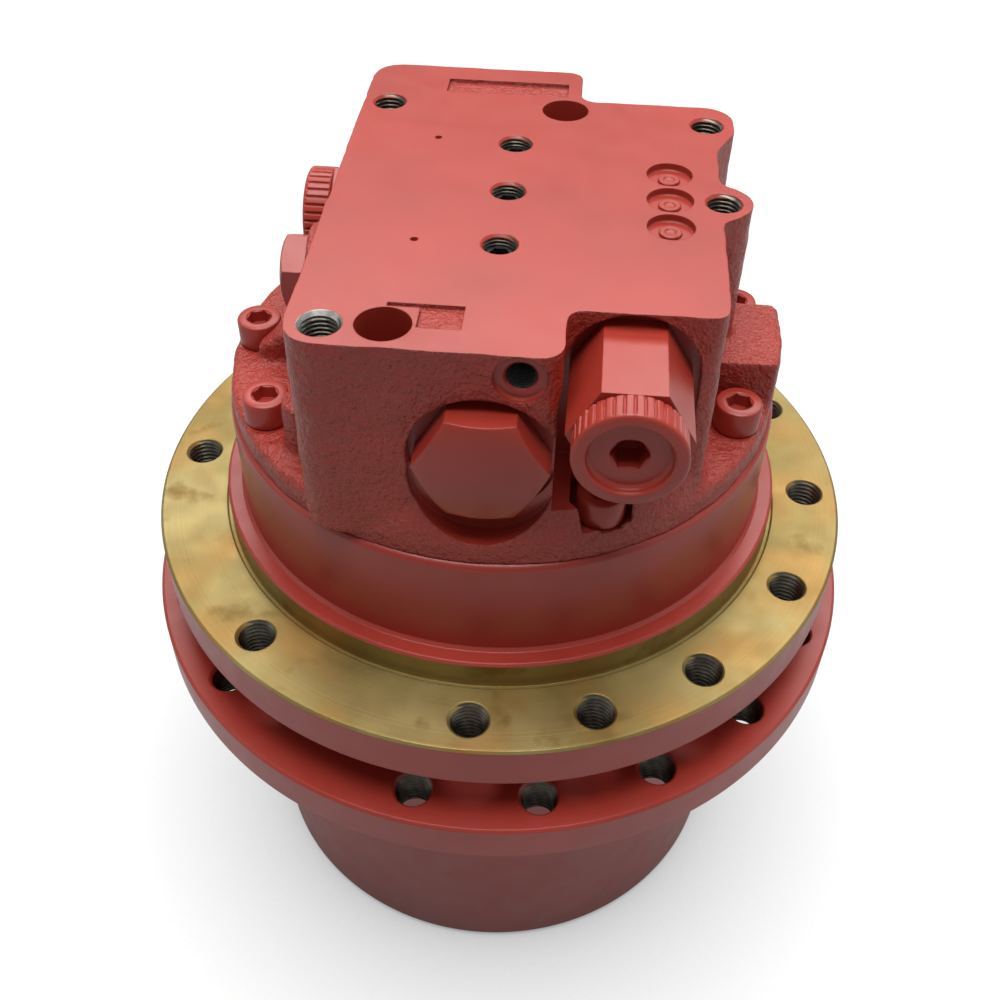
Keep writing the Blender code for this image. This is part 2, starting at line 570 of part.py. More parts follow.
def add_object(name, mesh, finish, parent=None):
    """Object of a mesh given in world places, with its own origin on its parent's."""
    data = bpy.data.meshes.new(name)
    origin = parent.location.copy() if parent else Vector((0, 0, 0))
    mesh.transform(Matrix.Translation(-origin))
    mesh.to_mesh(data)
    mesh.free()
    made = bpy.data.objects.new(name, data)
    bpy.context.scene.collection.objects.link(made)
    made.parent = parent
    if finish:
        data.materials.append(material(finish))
        data.shade_smooth()
        data.set_sharp_from_angle(angle=SMOOTH_ANGLE)
    return made


def combine(made, mesh, operation, name):
    """Cut a mesh, given in world places, from an object, or join it on."""
    helper = add_object(f"{made.name}_{name}", mesh, None, made.parent)
    helper.hide_render = True
    helper.display_type = "WIRE"
    modifier = made.modifiers.new(name, "BOOLEAN")
    modifier.operation = operation
    modifier.object = helper
    return made


def cut(made, mesh, name="cut"):
    return combine(made, mesh, "DIFFERENCE", name)


def fuse(made, mesh, name="fuse"):
    return combine(made, mesh, "UNION", name)


def body(name, place=(0, 0, 0), parent=None):
    """Empty on a joint's axis, which carries the pieces that move together."""
    made = bpy.data.objects.new(name, None)
    made.location = place
    bpy.context.scene.collection.objects.link(made)
    if parent:
        made.parent = parent
        made.matrix_parent_inverse = Matrix.Translation(-parent.location)
    return made


def gear_outline(teeth, low, high, phase, growth, flank_points):
    """Outline of teeth whose flanks pass through a few points of the involute, foot to tip."""
    pitch_radius = MODULE * teeth / 2
    base_radius = pitch_radius * math.cos(PRESSURE_ANGLE)
    at_pitch = math.tan(PRESSURE_ANGLE) - PRESSURE_ANGLE
    flank = []
    for step in range(flank_points):
        radius = low + (high - low) * step / (flank_points - 1)
        angle = math.acos(min(1.0, base_radius / radius))
        half = math.pi / (2 * teeth) + at_pitch - (math.tan(angle) - angle) + growth / radius
        flank.append((radius, half))
    points = []
    for tooth in range(teeth):
        middle = phase + tooth * 2 * math.pi / teeth
        rising = [polar(radius, middle - half, 0) for radius, half in flank]
        falling = [polar(radius, middle + half, 0) for radius, half in reversed(flank)]
        points += [(point.x, point.y) for point in rising + falling]
    return points


def gear(teeth, phase, low_z, high_z, flank_points, matrix=Matrix.Identity(4)):
    """External gear with its backlash taken off the teeth."""
    pitch_radius = MODULE * teeth / 2
    root = pitch_radius - DEDENDUM_SHARE * MODULE
    tip = pitch_radius + MODULE
    outline = gear_outline(teeth, root, tip, phase, -BACKLASH, flank_points)
    return prism(outline, low_z, high_z, matrix)


def planet_angle(index):
    return index * 2 * math.pi / PLANETS


def planet_phase(index):
    """Turn of a planet whose gap faces the sun's tooth on the line between their centres."""
    angle = planet_angle(index)
    sun_phase = SUN_TEETH * angle / (2 * math.pi) % 1.0
    return angle + math.pi - (0.5 - sun_phase) * 2 * math.pi / PLANET_TEETH


def ring_phase():
    """Turn of the ring gear that puts a gap round the first planet's outermost tooth."""
    return planet_phase(0) * PLANET_TEETH / RING_TEETH


def make_hub(parent):
    """Hub with the ring gear cut in its bore, the sprocket flange and the seal collar."""
    groove_top = COVER_STEP - CLEARANCE
    groove_low = groove_top - RETAINING_RING_THICKNESS - 2 * CLEARANCE
    bore = BEARING_OUTER_RADIUS + BORE_FIT
    rib_z = LOWER_BEARING_Z + BEARING_WIDTH + CLEARANCE
    seat = COVER_RADIUS + CLEARANCE
    profile = [
        (HUB_RADIUS - HUB_EDGE, 0),
        (HUB_RADIUS, HUB_EDGE),
        (HUB_RADIUS, SPROCKET_FLANGE_Z - SPROCKET_FLANGE_FILLET),
        (HUB_RADIUS + SPROCKET_FLANGE_FILLET, SPROCKET_FLANGE_Z),
        (SPROCKET_FLANGE_RADIUS - SPROCKET_FLANGE_EDGE, SPROCKET_FLANGE_Z),
        (SPROCKET_FLANGE_RADIUS, SPROCKET_FLANGE_Z + SPROCKET_FLANGE_EDGE),
        (SPROCKET_FLANGE_RADIUS, SPROCKET_FLANGE_TOP_Z - SPROCKET_FLANGE_EDGE),
        (SPROCKET_FLANGE_RADIUS - SPROCKET_FLANGE_EDGE, SPROCKET_FLANGE_TOP_Z),
        (HUB_COLLAR_RADIUS, SPROCKET_FLANGE_TOP_Z),
        (HUB_COLLAR_RADIUS, HUB_COLLAR_TOP_Z),
        (SEAL_SEAT_RADIUS, HUB_COLLAR_TOP_Z),
        (SEAL_SEAT_RADIUS, SEAL_FLOOR_Z),
        (bore, SEAL_FLOOR_Z),
        (bore, rib_z + BEARING_RIB_WIDTH),
        (bore - BEARING_RIB_DEPTH, rib_z + BEARING_RIB_WIDTH),
        (bore - BEARING_RIB_DEPTH, rib_z),
        (bore, rib_z),
        (bore, COVER_THICKNESS),
        (seat, COVER_THICKNESS),
        (seat, groove_top),
        (seat + RETAINING_GROOVE_DEPTH, groove_top),
        (seat + RETAINING_GROOVE_DEPTH, groove_low),
        (seat, groove_low),
        (seat, 0),
    ]
    hub = add_object("hub", turned(profile, FLANGE_FACETS), RED_PAINT, parent)
    teeth = gear_outline(
        RING_TEETH, RING_TIP_RADIUS, RING_ROOT_RADIUS, ring_phase(), BACKLASH, PLANET_FLANK_POINTS
    )
    cut(hub, prism(teeth, COVER_THICKNESS - OVERRUN, SPINDLE_FOOT_Z), "ring_gear")
    depth = SPROCKET_FLANGE_THICKNESS + OVERRUN
    holes = []
    for place in range(SPROCKET_HOLE_PLACES):
        if place not in SPROCKET_HOLES_LEFT_OUT:
            angle = SPROCKET_HOLE_START + place * SPROCKET_HOLE_PITCH
            mouth = polar(SPROCKET_HOLE_CIRCLE, angle, SPROCKET_FLANGE_TOP_Z)
            holes.append(hole(SPROCKET_HOLE_RADIUS, depth, mouth, (0, 0, 1)))
    cut(hub, joined(holes), "sprocket_holes")


def make_cover(parent):
    """Gearbox cover, held in the hub by a retaining ring, with two oil plugs."""
    profile = [
        (0, COVER_DISH_DEPTH),
        (COVER_DISH_RADIUS, COVER_DISH_DEPTH),
        (COVER_DISH_RADIUS + COVER_DISH_DEPTH, 0),
        (COVER_BOSS_RADIUS, 0),
        (COVER_BOSS_RADIUS, COVER_STEP),
        (COVER_RADIUS, COVER_STEP),
        (COVER_RADIUS, COVER_THICKNESS - CLEARANCE),
        (0, COVER_THICKNESS - CLEARANCE),
    ]
    cover = add_object("gearbox_cover", turned(profile, FLANGE_FACETS), RED_PAINT, parent)
    seats = [polar(OIL_PLUG_OFFSET, angle, 0) for angle in OIL_PLUG_ANGLES]
    radius, depth = OIL_PLUG_RADIUS + CLEARANCE, COVER_THICKNESS + OVERRUN
    holes = [hole(radius, depth, place, (0, 0, -1), 0.0, SMALL_FACETS) for place in seats]
    cut(cover, joined(holes), "plug_holes")
    for index, place in enumerate(seats):
        body_of_plug = [
            (0, OIL_PLUG_HEAD_DEPTH),
            (OIL_PLUG_RADIUS, OIL_PLUG_HEAD_DEPTH),
            (OIL_PLUG_RADIUS, COVER_THICKNESS - CLEARANCE),
            (0, COVER_THICKNESS - CLEARANCE),
        ]
        mesh = turned(body_of_plug, SMALL_FACETS, Matrix.Translation(place))
        plug = add_object(f"oil_plug_{index + 1}", mesh, DARK_STEEL, parent)
        depth = OIL_PLUG_HEAD_DEPTH + OIL_PLUG_SOCKET_DEPTH
        cut(plug, prism(hexagon(OIL_PLUG_SOCKET), -OVERRUN, depth, Matrix.Translation(place)), "socket")
    low = COVER_STEP - 2 * CLEARANCE - RETAINING_RING_THICKNESS
    outer = COVER_RADIUS + RETAINING_GROOVE_DEPTH - CLEARANCE
    inner = COVER_RADIUS - RETAINING_RING_WIDTH
    high = low + RETAINING_RING_THICKNESS
    band = [(inner, low), (outer, low), (outer, high), (inner, high)]
    ring = add_object("cover_retaining_ring", turned(band, FLANGE_FACETS), DARK_STEEL, parent)
    reach = outer + OVERRUN
    mouth = [polar(reach, side * RETAINING_RING_OPENING / 2, 0) for side in (-1, 1)]
    wedge = [(0, 0)] + [(corner.x, corner.y) for corner in mouth]
    cut(ring, prism(wedge, low - OVERRUN, COVER_STEP), "opening")


def bearing_ring(name, inner, outer, low_z, groove_inside, parent):
    """Bearing ring with its ball groove, on its outside or its inside."""
    middle = low_z + BEARING_WIDTH / 2
    plain, grooved = (outer, inner) if groove_inside else (inner, outer)
    floor = grooved + math.copysign(BEARING_GROOVE_DEPTH, plain - grooved)
    profile = [
        (plain, low_z),
        (grooved, low_z),
        (grooved, middle - BEARING_GROOVE_WIDTH / 2),
        (floor, middle - BEARING_GROOVE_FLOOR_WIDTH / 2),
        (floor, middle + BEARING_GROOVE_FLOOR_WIDTH / 2),
        (grooved, middle + BEARING_GROOVE_WIDTH / 2),
        (grooved, low_z + BEARING_WIDTH),
        (plain, low_z + BEARING_WIDTH),
    ]
    add_object(name, turned(profile, BEARING_FACETS), BEARING_STEEL, parent)


def make_main_bearings(root, hub_body, cages):
    """Two ball bearings: inner rings on the spindle, outer rings in the hub, balls in cages."""
    inner = BEARING_SEAT_RADIUS + BORE_FIT
    ball_circle = (inner + BEARING_OUTER_RADIUS) / 2
    for name, low_z, cage_body in zip(("lower", "upper"), (LOWER_BEARING_Z, UPPER_BEARING_Z), cages):
        inner_high = inner + BEARING_RING_THICKNESS
        bearing_ring(f"{name}_bearing_inner_ring", inner, inner_high, low_z, False, root)
        outer_low = BEARING_OUTER_RADIUS - BEARING_RING_THICKNESS
        bearing_ring(f"{name}_bearing_outer_ring", outer_low, BEARING_OUTER_RADIUS, low_z, True, hub_body)
        middle = low_z + BEARING_WIDTH / 2
        half = CAGE_THICKNESS / 2
        band = [
            (ball_circle - half, middle - CAGE_WIDTH / 2),
            (ball_circle + half, middle - CAGE_WIDTH / 2),
            (ball_circle + half, middle + CAGE_WIDTH / 2),
            (ball_circle - half, middle + CAGE_WIDTH / 2),
        ]
        cage = add_object(f"{name}_bearing_balls", turned(band, BALLS * 2), BEARING_STEEL, cage_body)
        balls = []
        for index in range(BALLS):
            ball = bmesh.new()
            place = Matrix.Translation(polar(ball_circle, index * 2 * math.pi / BALLS, middle))
            bmesh.ops.create_icosphere(ball, subdivisions=1, radius=BALL_RADIUS, matrix=place)
            balls.append(ball)
        fuse(cage, joined(balls), "balls")


def make_lock_nut(parent):
    """Slotted nut that holds the bearings' inner rings up against the spindle's shoulder."""
    inner = BEARING_SEAT_RADIUS + BORE_FIT
    band = [
        (inner, LOCK_NUT_Z),
        (LOCK_NUT_RADIUS, LOCK_NUT_Z),
        (LOCK_NUT_RADIUS, LOCK_NUT_Z + LOCK_NUT_WIDTH),
        (inner, LOCK_NUT_Z + LOCK_NUT_WIDTH),
    ]
    nut = add_object("bearing_lock_nut", turned(band, BEARING_FACETS), DARK_STEEL, parent)
    slots = []
    for index in range(LOCK_NUT_SLOTS):
        size = (2 * LOCK_NUT_SLOT_DEPTH, LOCK_NUT_SLOT_WIDTH)
        turn = Matrix.Rotation(index * 2 * math.pi / LOCK_NUT_SLOTS, 4, "Z")
        slot = rectangle((LOCK_NUT_RADIUS, 0), size)
        slots.append(prism(slot, LOCK_NUT_Z - OVERRUN, LOCK_NUT_Z + LOCK_NUT_WIDTH + OVERRUN, turn))
    cut(nut, joined(slots), "slots")


def make_seal_rings(root, hub_body):
    """The two steel rings of the floating face seal, lapped lips towards each other."""
    low = SEAL_FLOOR_Z + CLEARANCE
    lower = [
        (SEAL_RING_INNER, low),
        (SEAL_RING_OUTER - SEAL_LIP_WIDTH, low),
        (SEAL_RING_OUTER, low + SEAL_LIP_WIDTH),
        (SEAL_RING_OUTER, SEAL_FACE_Z),
        (SEAL_RING_INNER, SEAL_FACE_Z),
    ]
    add_object("hub_seal_ring", turned(lower, BORE_FACETS), DARK_STEEL, hub_body)
    middle = SEAL_FACE_Z + CLEARANCE / 2
    upper = [(radius, 2 * middle - z) for radius, z in reversed(lower)]
    add_object("spindle_seal_ring", turned(upper, BORE_FACETS), DARK_STEEL, root)


def make_spindle(root):
    """Spindle: planet pins, bearing seats, frame flange, pilot, neck and the motor's rooms."""
    skirt_z = HUB_COLLAR_TOP_Z + SKIRT_GAP
    groove = PILOT_RADIUS + PILOT_GROOVE_WIDTH
    pilot_top = FRAME_FLANGE_TOP_Z + PILOT_HEIGHT
    pocket = LOWER_SHAFT_BEARING_RADIUS + CLEARANCE
    profile = [
        (BEARING_SEAT_RADIUS, SPINDLE_FOOT_Z),
        (BEARING_SEAT_RADIUS, BEARING_TOP_Z),
        (SPINDLE_WAIST_RADIUS, BEARING_TOP_Z),
        (SPINDLE_WAIST_RADIUS, SEAL_ROOF_Z),
        (SEAL_SEAT_RADIUS, SEAL_ROOF_Z),
        (SEAL_SEAT_RADIUS, skirt_z),
        (HUB_COLLAR_RADIUS, skirt_z),
        (HUB_COLLAR_RADIUS, FRAME_FLANGE_Z),
        (FRAME_FLANGE_RADIUS - FRAME_FLANGE_EDGE, FRAME_FLANGE_Z),
        (FRAME_FLANGE_RADIUS, FRAME_FLANGE_Z + FRAME_FLANGE_EDGE),
        (FRAME_FLANGE_RADIUS, FRAME_FLANGE_TOP_Z - FRAME_FLANGE_EDGE),
        (FRAME_FLANGE_RADIUS - FRAME_FLANGE_EDGE, FRAME_FLANGE_TOP_Z),
        (groove, FRAME_FLANGE_TOP_Z),
        (groove, FRAME_FLANGE_TOP_Z - PILOT_GROOVE_DEPTH),
        (PILOT_RADIUS, FRAME_FLANGE_TOP_Z - PILOT_GROOVE_DEPTH),
        (PILOT_RADIUS, pilot_top),
        (NECK_RADIUS, pilot_top),
        (NECK_RADIUS, NECK_TOP_Z - NECK_CHAMFER),
        (NECK_RADIUS - NECK_CHAMFER, NECK_TOP_Z),
        (MOTOR_ROOM_RADIUS, NECK_TOP_Z),
        (MOTOR_ROOM_RADIUS, MOTOR_ROOM_FLOOR_Z),
        (SWASH_ROOM_RADIUS, MOTOR_ROOM_FLOOR_Z),
        (SWASH_ROOM_RADIUS, SWASH_ROOM_FLOOR_Z),
        (pocket, SWASH_ROOM_FLOOR_Z),
        (pocket, SPINDLE_FOOT_Z + SHAFT_LIP),
        (SHAFT_HOLE_RADIUS, SPINDLE_FOOT_Z + SHAFT_LIP),
        (SHAFT_HOLE_RADIUS, SPINDLE_FOOT_Z),
    ]
    spindle = add_object("spindle", turned(profile, FLANGE_FACETS), RED_PAINT, root)
    pins = []
    for index in range(PLANETS):
        radius = SECOND_PLANET_BORE - BORE_FIT
        head = radius + SECOND_PIN_HEAD_RIM
        outline = [
            (0, SECOND_HEAD_Z),
            (head, SECOND_HEAD_Z),
            (head, SECOND_HEAD_Z + PIN_HEAD_WIDTH),
            (radius, SECOND_HEAD_Z + PIN_HEAD_WIDTH),
            (radius, SPINDLE_FOOT_Z + OVERRUN),
            (0, SPINDLE_FOOT_Z + OVERRUN),
        ]
        place = Matrix.Translation(polar(CENTRE_DISTANCE, planet_angle(index), 0))
        pins.append(turned(outline, SMALL_FACETS, place))
    fuse(spindle, joined(pins), "planet_pins")
    saddles = []
    for side in (-1, 1):
        size = (CRADLE_WIDTH + 2 * AXIAL_PLAY, 2 * SADDLE_HALF_LENGTH)
        block = rectangle((side * CRADLE_OFFSET, 0), size)
        saddles.append(prism(block, SWASH_ROOM_FLOOR_Z - OVERRUN, SADDLE_TOP_Z))
    fuse(spindle, joined(saddles), "saddles")
    seat = ring_of(CRADLE_RADIUS + BORE_FIT, BORE_FACETS, math.pi / BORE_FACETS)
    length = CRADLE_OFFSET + CRADLE_WIDTH / 2 + OVERRUN
    across = along((0, 0, SWASH_PIVOT_Z), (1, 0, 0))
    cut(spindle, prism(seat, -length, length, across), "cradle_seats")
    holes = [
        hole(
            FRAME_HOLE_RADIUS,
            FRAME_FLANGE_THICKNESS + OVERRUN,
            polar(FRAME_HOLE_CIRCLE, angle, FRAME_FLANGE_TOP_Z),
            (0, 0, 1),
            FRAME_HOLE_SINK,
        )
        for angle in FRAME_HOLE_ANGLES
    ]
    cut(spindle, joined(holes), "frame_holes")
    depth = SCREW_LENGTH + OVERRUN - BASE_THICKNESS
    taps = [
        hole(SCREW_SHANK_RADIUS + CLEARANCE, depth, (*place, NECK_TOP_Z), (0, 0, 1))
        for place in screw_places()
    ]
    cut(spindle, joined(taps), "screw_holes")


def make_planets(name, low_z, width, bore, bodies):
    """Three planets round the sun, each on its own axis."""
    for index, carrier_body in enumerate(bodies):
        place = Matrix.Translation(polar(CENTRE_DISTANCE, planet_angle(index), 0))
        top = low_z + width
        mesh = gear(PLANET_TEETH, planet_phase(index), low_z, top, PLANET_FLANK_POINTS, place)
        planet = add_object(f"{name}_{index + 1}", mesh, GEAR_STEEL, carrier_body)
        bore_cutter = prism(ring_of(bore, SMALL_FACETS), low_z - OVERRUN, low_z + width + OVERRUN, place)
        cut(planet, bore_cutter, "bore")


def make_carrier(parent):
    """First-stage carrier with its three pressed-in pins."""
    plate = [
        (CARRIER_BORE, CARRIER_Z),
        (CARRIER_RADIUS, CARRIER_Z),
        (CARRIER_RADIUS, CARRIER_Z + CARRIER_THICKNESS),
        (CARRIER_BORE, CARRIER_Z + CARRIER_THICKNESS),
    ]
    carrier = add_object("first_stage_carrier", turned(plate, BORE_FACETS), GEAR_STEEL, parent)
    pins = []
    for index in range(PLANETS):
        radius = FIRST_PLANET_BORE - BORE_FIT
        head = radius + PIN_HEAD_RIM
        outline = [
            (0, FIRST_HEAD_Z),
            (head, FIRST_HEAD_Z),
            (head, FIRST_HEAD_Z + PIN_HEAD_WIDTH),
            (radius, FIRST_HEAD_Z + PIN_HEAD_WIDTH),
            (radius, CARRIER_Z + CARRIER_THICKNESS / 2),
            (0, CARRIER_Z + CARRIER_THICKNESS / 2),
        ]
        place = Matrix.Translation(polar(CENTRE_DISTANCE, planet_angle(index), 0))
        pins.append(turned(outline, SMALL_FACETS, place))
    fuse(carrier, joined(pins), "pins")
    notches = []
    for index in range(PLANETS):
        angle = planet_angle(index) + math.pi / PLANETS
        outline = ring_of(CARRIER_NOTCH_RADIUS, SMALL_FACETS)
        place = Matrix.Translation(polar(CARRIER_RADIUS, angle, 0))
        notches.append(prism(outline, CARRIER_Z - OVERRUN, CARRIER_Z + CARRIER_THICKNESS + OVERRUN, place))
    cut(carrier, joined(notches), "notches")


def make_second_sun(parent):
    """Sun of the second stage, whose foot sits in the first stage's carrier."""
    top = SPINDLE_FOOT_Z - AXIAL_PLAY
    mesh = gear(SUN_TEETH, 0.0, CARRIER_Z, top, SUN_FLANK_POINTS)
    sun = add_object("second_stage_sun", mesh, GEAR_STEEL, parent)
    foot = ring_of(CARRIER_BORE - CLEARANCE, BORE_FACETS)
    fuse(sun, prism(foot, CARRIER_Z, CARRIER_Z + CARRIER_THICKNESS), "foot")
    cut(sun, prism(ring_of(SUN_BORE, SMALL_FACETS), CARRIER_Z - OVERRUN, top + OVERRUN), "bore")


def make_shaft(parent):
    """Motor shaft with the first stage's sun on its thin end, and its two bearings' seats."""
    bearing_z = SPINDLE_FOOT_Z + SHAFT_LIP + CLEARANCE
    bearing_top = SWASH_ROOM_FLOOR_Z - CLEARANCE
    upper_z = SPIGOT_Z + CLEARANCE
    upper_top = upper_z + UPPER_SHAFT_BEARING_WIDTH
    profile = [
        (0, FIRST_PLANET_Z),
        (GEAR_SHAFT_RADIUS, FIRST_PLANET_Z),
        (GEAR_SHAFT_RADIUS, bearing_z),
        (LOWER_SHAFT_SEAT_RADIUS, bearing_z),
        (LOWER_SHAFT_SEAT_RADIUS, bearing_top + CLEARANCE),
        (SPLINE_COLLAR_RADIUS, bearing_top + CLEARANCE),
        (SPLINE_COLLAR_RADIUS, bearing_top + SPLINE_COLLAR_WIDTH),
        (SHAFT_RADIUS, bearing_top + SPLINE_COLLAR_WIDTH),
        (SHAFT_RADIUS, VALVE_PLATE_Z - CLEARANCE),
        (UPPER_SHAFT_SEAT_RADIUS, VALVE_PLATE_Z - CLEARANCE),
        (UPPER_SHAFT_SEAT_RADIUS, upper_top),
        (0, upper_top),
    ]
    shaft = add_object("motor_shaft_with_sun", turned(profile, SMALL_FACETS), GEAR_STEEL, parent)
    fuse(shaft, gear(SUN_TEETH, 0.0, FIRST_SUN_Z, CARRIER_Z - AXIAL_PLAY, SUN_FLANK_POINTS), "sun")
    return bearing_z, bearing_top, upper_z, upper_top


def shaft_bearing(name, inner, outer, low, high, parent):
    """Closed roller bearing of the motor shaft."""
    profile = [(inner, low), (outer, low), (outer, high), (inner, high)]
    add_object(name, turned(profile, BORE_FACETS), BEARING_STEEL, parent)


def make_swash_plate(parent):
    """Tilted disc with a flat running face through the pivot and a cradle on each side."""
    tilt = Matrix.Translation((0, 0, SWASH_PIVOT_Z)) @ Matrix.Rotation(SWASH_ANGLE, 4, "X")
    disc = ring_of(SWASH_RADIUS, BORE_FACETS)
    swash = add_object("swash_plate", prism(disc, -SWASH_THICKNESS, 0, tilt), GEAR_STEEL, parent)
    turn = math.pi / SMALL_FACETS
    half_disc = [polar(CRADLE_RADIUS, -step * turn, 0) for step in range(SMALL_FACETS + 1)]
    lowered = [(corner.x, min(corner.y, -CLEARANCE)) for corner in half_disc]
    upright = tilt @ Matrix.Rotation(math.pi / 2, 4, "X") @ Matrix.Rotation(math.pi / 2, 4, "Y")
    cradles = []
    for side in (-1, 1):
        middle = side * CRADLE_OFFSET
        cradles.append(prism(lowered, middle - CRADLE_WIDTH / 2, middle + CRADLE_WIDTH / 2, upright))
    fuse(swash, joined(cradles), "cradles")
    cut(swash, prism(ring_of(SWASH_BORE, SMALL_FACETS), -SWASH_RADIUS, OVERRUN, tilt), "bore")


def make_cylinder_block(parent):
    """Rotating block with its piston bores and a kidney port over each."""
    profile = [
        (SHAFT_RADIUS + CLEARANCE, CYLINDER_BLOCK_Z),
        (CYLINDER_BLOCK_RADIUS - CYLINDER_BLOCK_CHAMFER, CYLINDER_BLOCK_Z),
        (CYLINDER_BLOCK_RADIUS, CYLINDER_BLOCK_Z + CYLINDER_BLOCK_CHAMFER),
        (CYLINDER_BLOCK_RADIUS, CYLINDER_BLOCK_TOP_Z),
        (SHAFT_RADIUS + CLEARANCE, CYLINDER_BLOCK_TOP_Z),
    ]
    block = add_object("cylinder_block", turned(profile, BORE_FACETS), BRONZE, parent)
    bores = []
    height = CYLINDER_BLOCK_TOP_Z - CYLINDER_BLOCK_Z
    for index in range(PISTONS):
        place = polar(PISTON_CIRCLE, index * 2 * math.pi / PISTONS, CYLINDER_BLOCK_Z)
        outline = [
            (0, -OVERRUN),
            (PISTON_RADIUS + CLEARANCE, -OVERRUN),
            (PISTON_RADIUS + CLEARANCE, height - PORT_DEPTH),
            (PORT_WIDTH / 2, height - PORT_DEPTH),
            (PORT_WIDTH / 2, height + OVERRUN),
            (0, height + OVERRUN),
        ]
        bores.append(turned(outline, HOLE_FACETS, Matrix.Translation(place)))
    cut(block, joined(bores), "bores")
    for index in range(PISTONS):
        place = polar(PISTON_CIRCLE, index * 2 * math.pi / PISTONS, SHOE_Z)
        neck = SHOE_THICKNESS + SHOE_NECK_LENGTH
        outline = [
            (0, 0),
            (SHOE_RADIUS, 0),
            (SHOE_RADIUS, SHOE_THICKNESS),
            (SHOE_NECK_RADIUS, SHOE_THICKNESS),
            (SHOE_NECK_RADIUS, neck),
            (PISTON_RADIUS, neck),
            (PISTON_RADIUS, neck + PISTON_LENGTH),
            (0, neck + PISTON_LENGTH),
        ]
        mesh = turned(outline, HOLE_FACETS, Matrix.Translation(place))
        add_object(f"piston_{index + 1}", mesh, GEAR_STEEL, parent)


def make_brake(root_brake, shaft_body):
    """Lined brake disc on the cylinder block and the sprung piston that clamps it."""
    low, high = BRAKE_DISC_Z, BRAKE_DISC_Z + BRAKE_DISC_THICKNESS
    inner = CYLINDER_BLOCK_RADIUS + CLEARANCE
    disc = [(inner, low), (BRAKE_DISC_RADIUS, low), (BRAKE_DISC_RADIUS, high), (inner, high)]
    add_object("brake_disc", turned(disc, BORE_FACETS), FRICTION, shaft_body)
    outer = MOTOR_ROOM_RADIUS - BORE_FIT
    step = outer - BRAKE_STEP_SHARE * (outer - BRAKE_PISTON_BORE)
    shoulder = BRAKE_PISTON_Z + BRAKE_SHOULDER_SHARE * (BRAKE_PISTON_TOP_Z - BRAKE_PISTON_Z)
    piston = [
        (BRAKE_PISTON_BORE, BRAKE_PISTON_Z),
        (step, BRAKE_PISTON_Z),
        (step, shoulder),
        (outer, shoulder),
        (outer, BRAKE_PISTON_TOP_Z),
        (BRAKE_PISTON_BORE, BRAKE_PISTON_TOP_Z),
    ]
    add_object("brake_piston", turned(piston, BORE_FACETS), GEAR_STEEL, root_brake)


def block_outline():
    """Top outline of the valve block, anticlockwise from its front left corner."""
    lug_x, lug_y = RIGHT_LUG_PLACE
    rear_x, rear_y = REAR_LUG_PLACE
    lug, lug_corner = LUG_RADIUS, LUG_CORNER_SHARE * LUG_RADIUS
    return rounded([
        (BLOCK_LEFT_X, BLOCK_FRONT_Y, BLOCK_CORNER),
        (NOTCH_X, BLOCK_FRONT_Y, BLOCK_SMALL_CORNER),
        (NOTCH_X, NOTCH_Y, BLOCK_SMALL_CORNER),
        (BLOCK_RIGHT_X, NOTCH_Y, BLOCK_SMALL_CORNER),
        (BLOCK_RIGHT_X, lug_y - lug, BLOCK_SMALL_CORNER),
        (lug_x + lug, lug_y - lug, lug_corner),
        (lug_x + lug, lug_y + lug, lug_corner),
        (BLOCK_RIGHT_X, lug_y + lug, BLOCK_SMALL_CORNER),
        (BLOCK_RIGHT_X, rear_y - 2 * lug, lug),
        (rear_x + lug, rear_y - lug / 2, lug),
        (rear_x + lug, BACK_STEP_Y, BLOCK_CORNER),
        (BACK_STEP_X, BACK_STEP_Y, BLOCK_SMALL_CORNER),
        (BACK_STEP_X, BLOCK_BACK_Y, BLOCK_SMALL_CORNER),
        (BLOCK_LEFT_X, BLOCK_BACK_Y, BLOCK_CORNER),
    ])


def rim_arc(start, end, inset=CLEARANCE):
    """Points of (x, y) along the base's rim, or inside it, from one angle to another."""
    radius = BASE_RADIUS - inset
    arc = [polar(radius, start + (end - start) * step / HEX, 0) for step in range(HEX + 1)]
    return [(point.x, point.y) for point in arc]


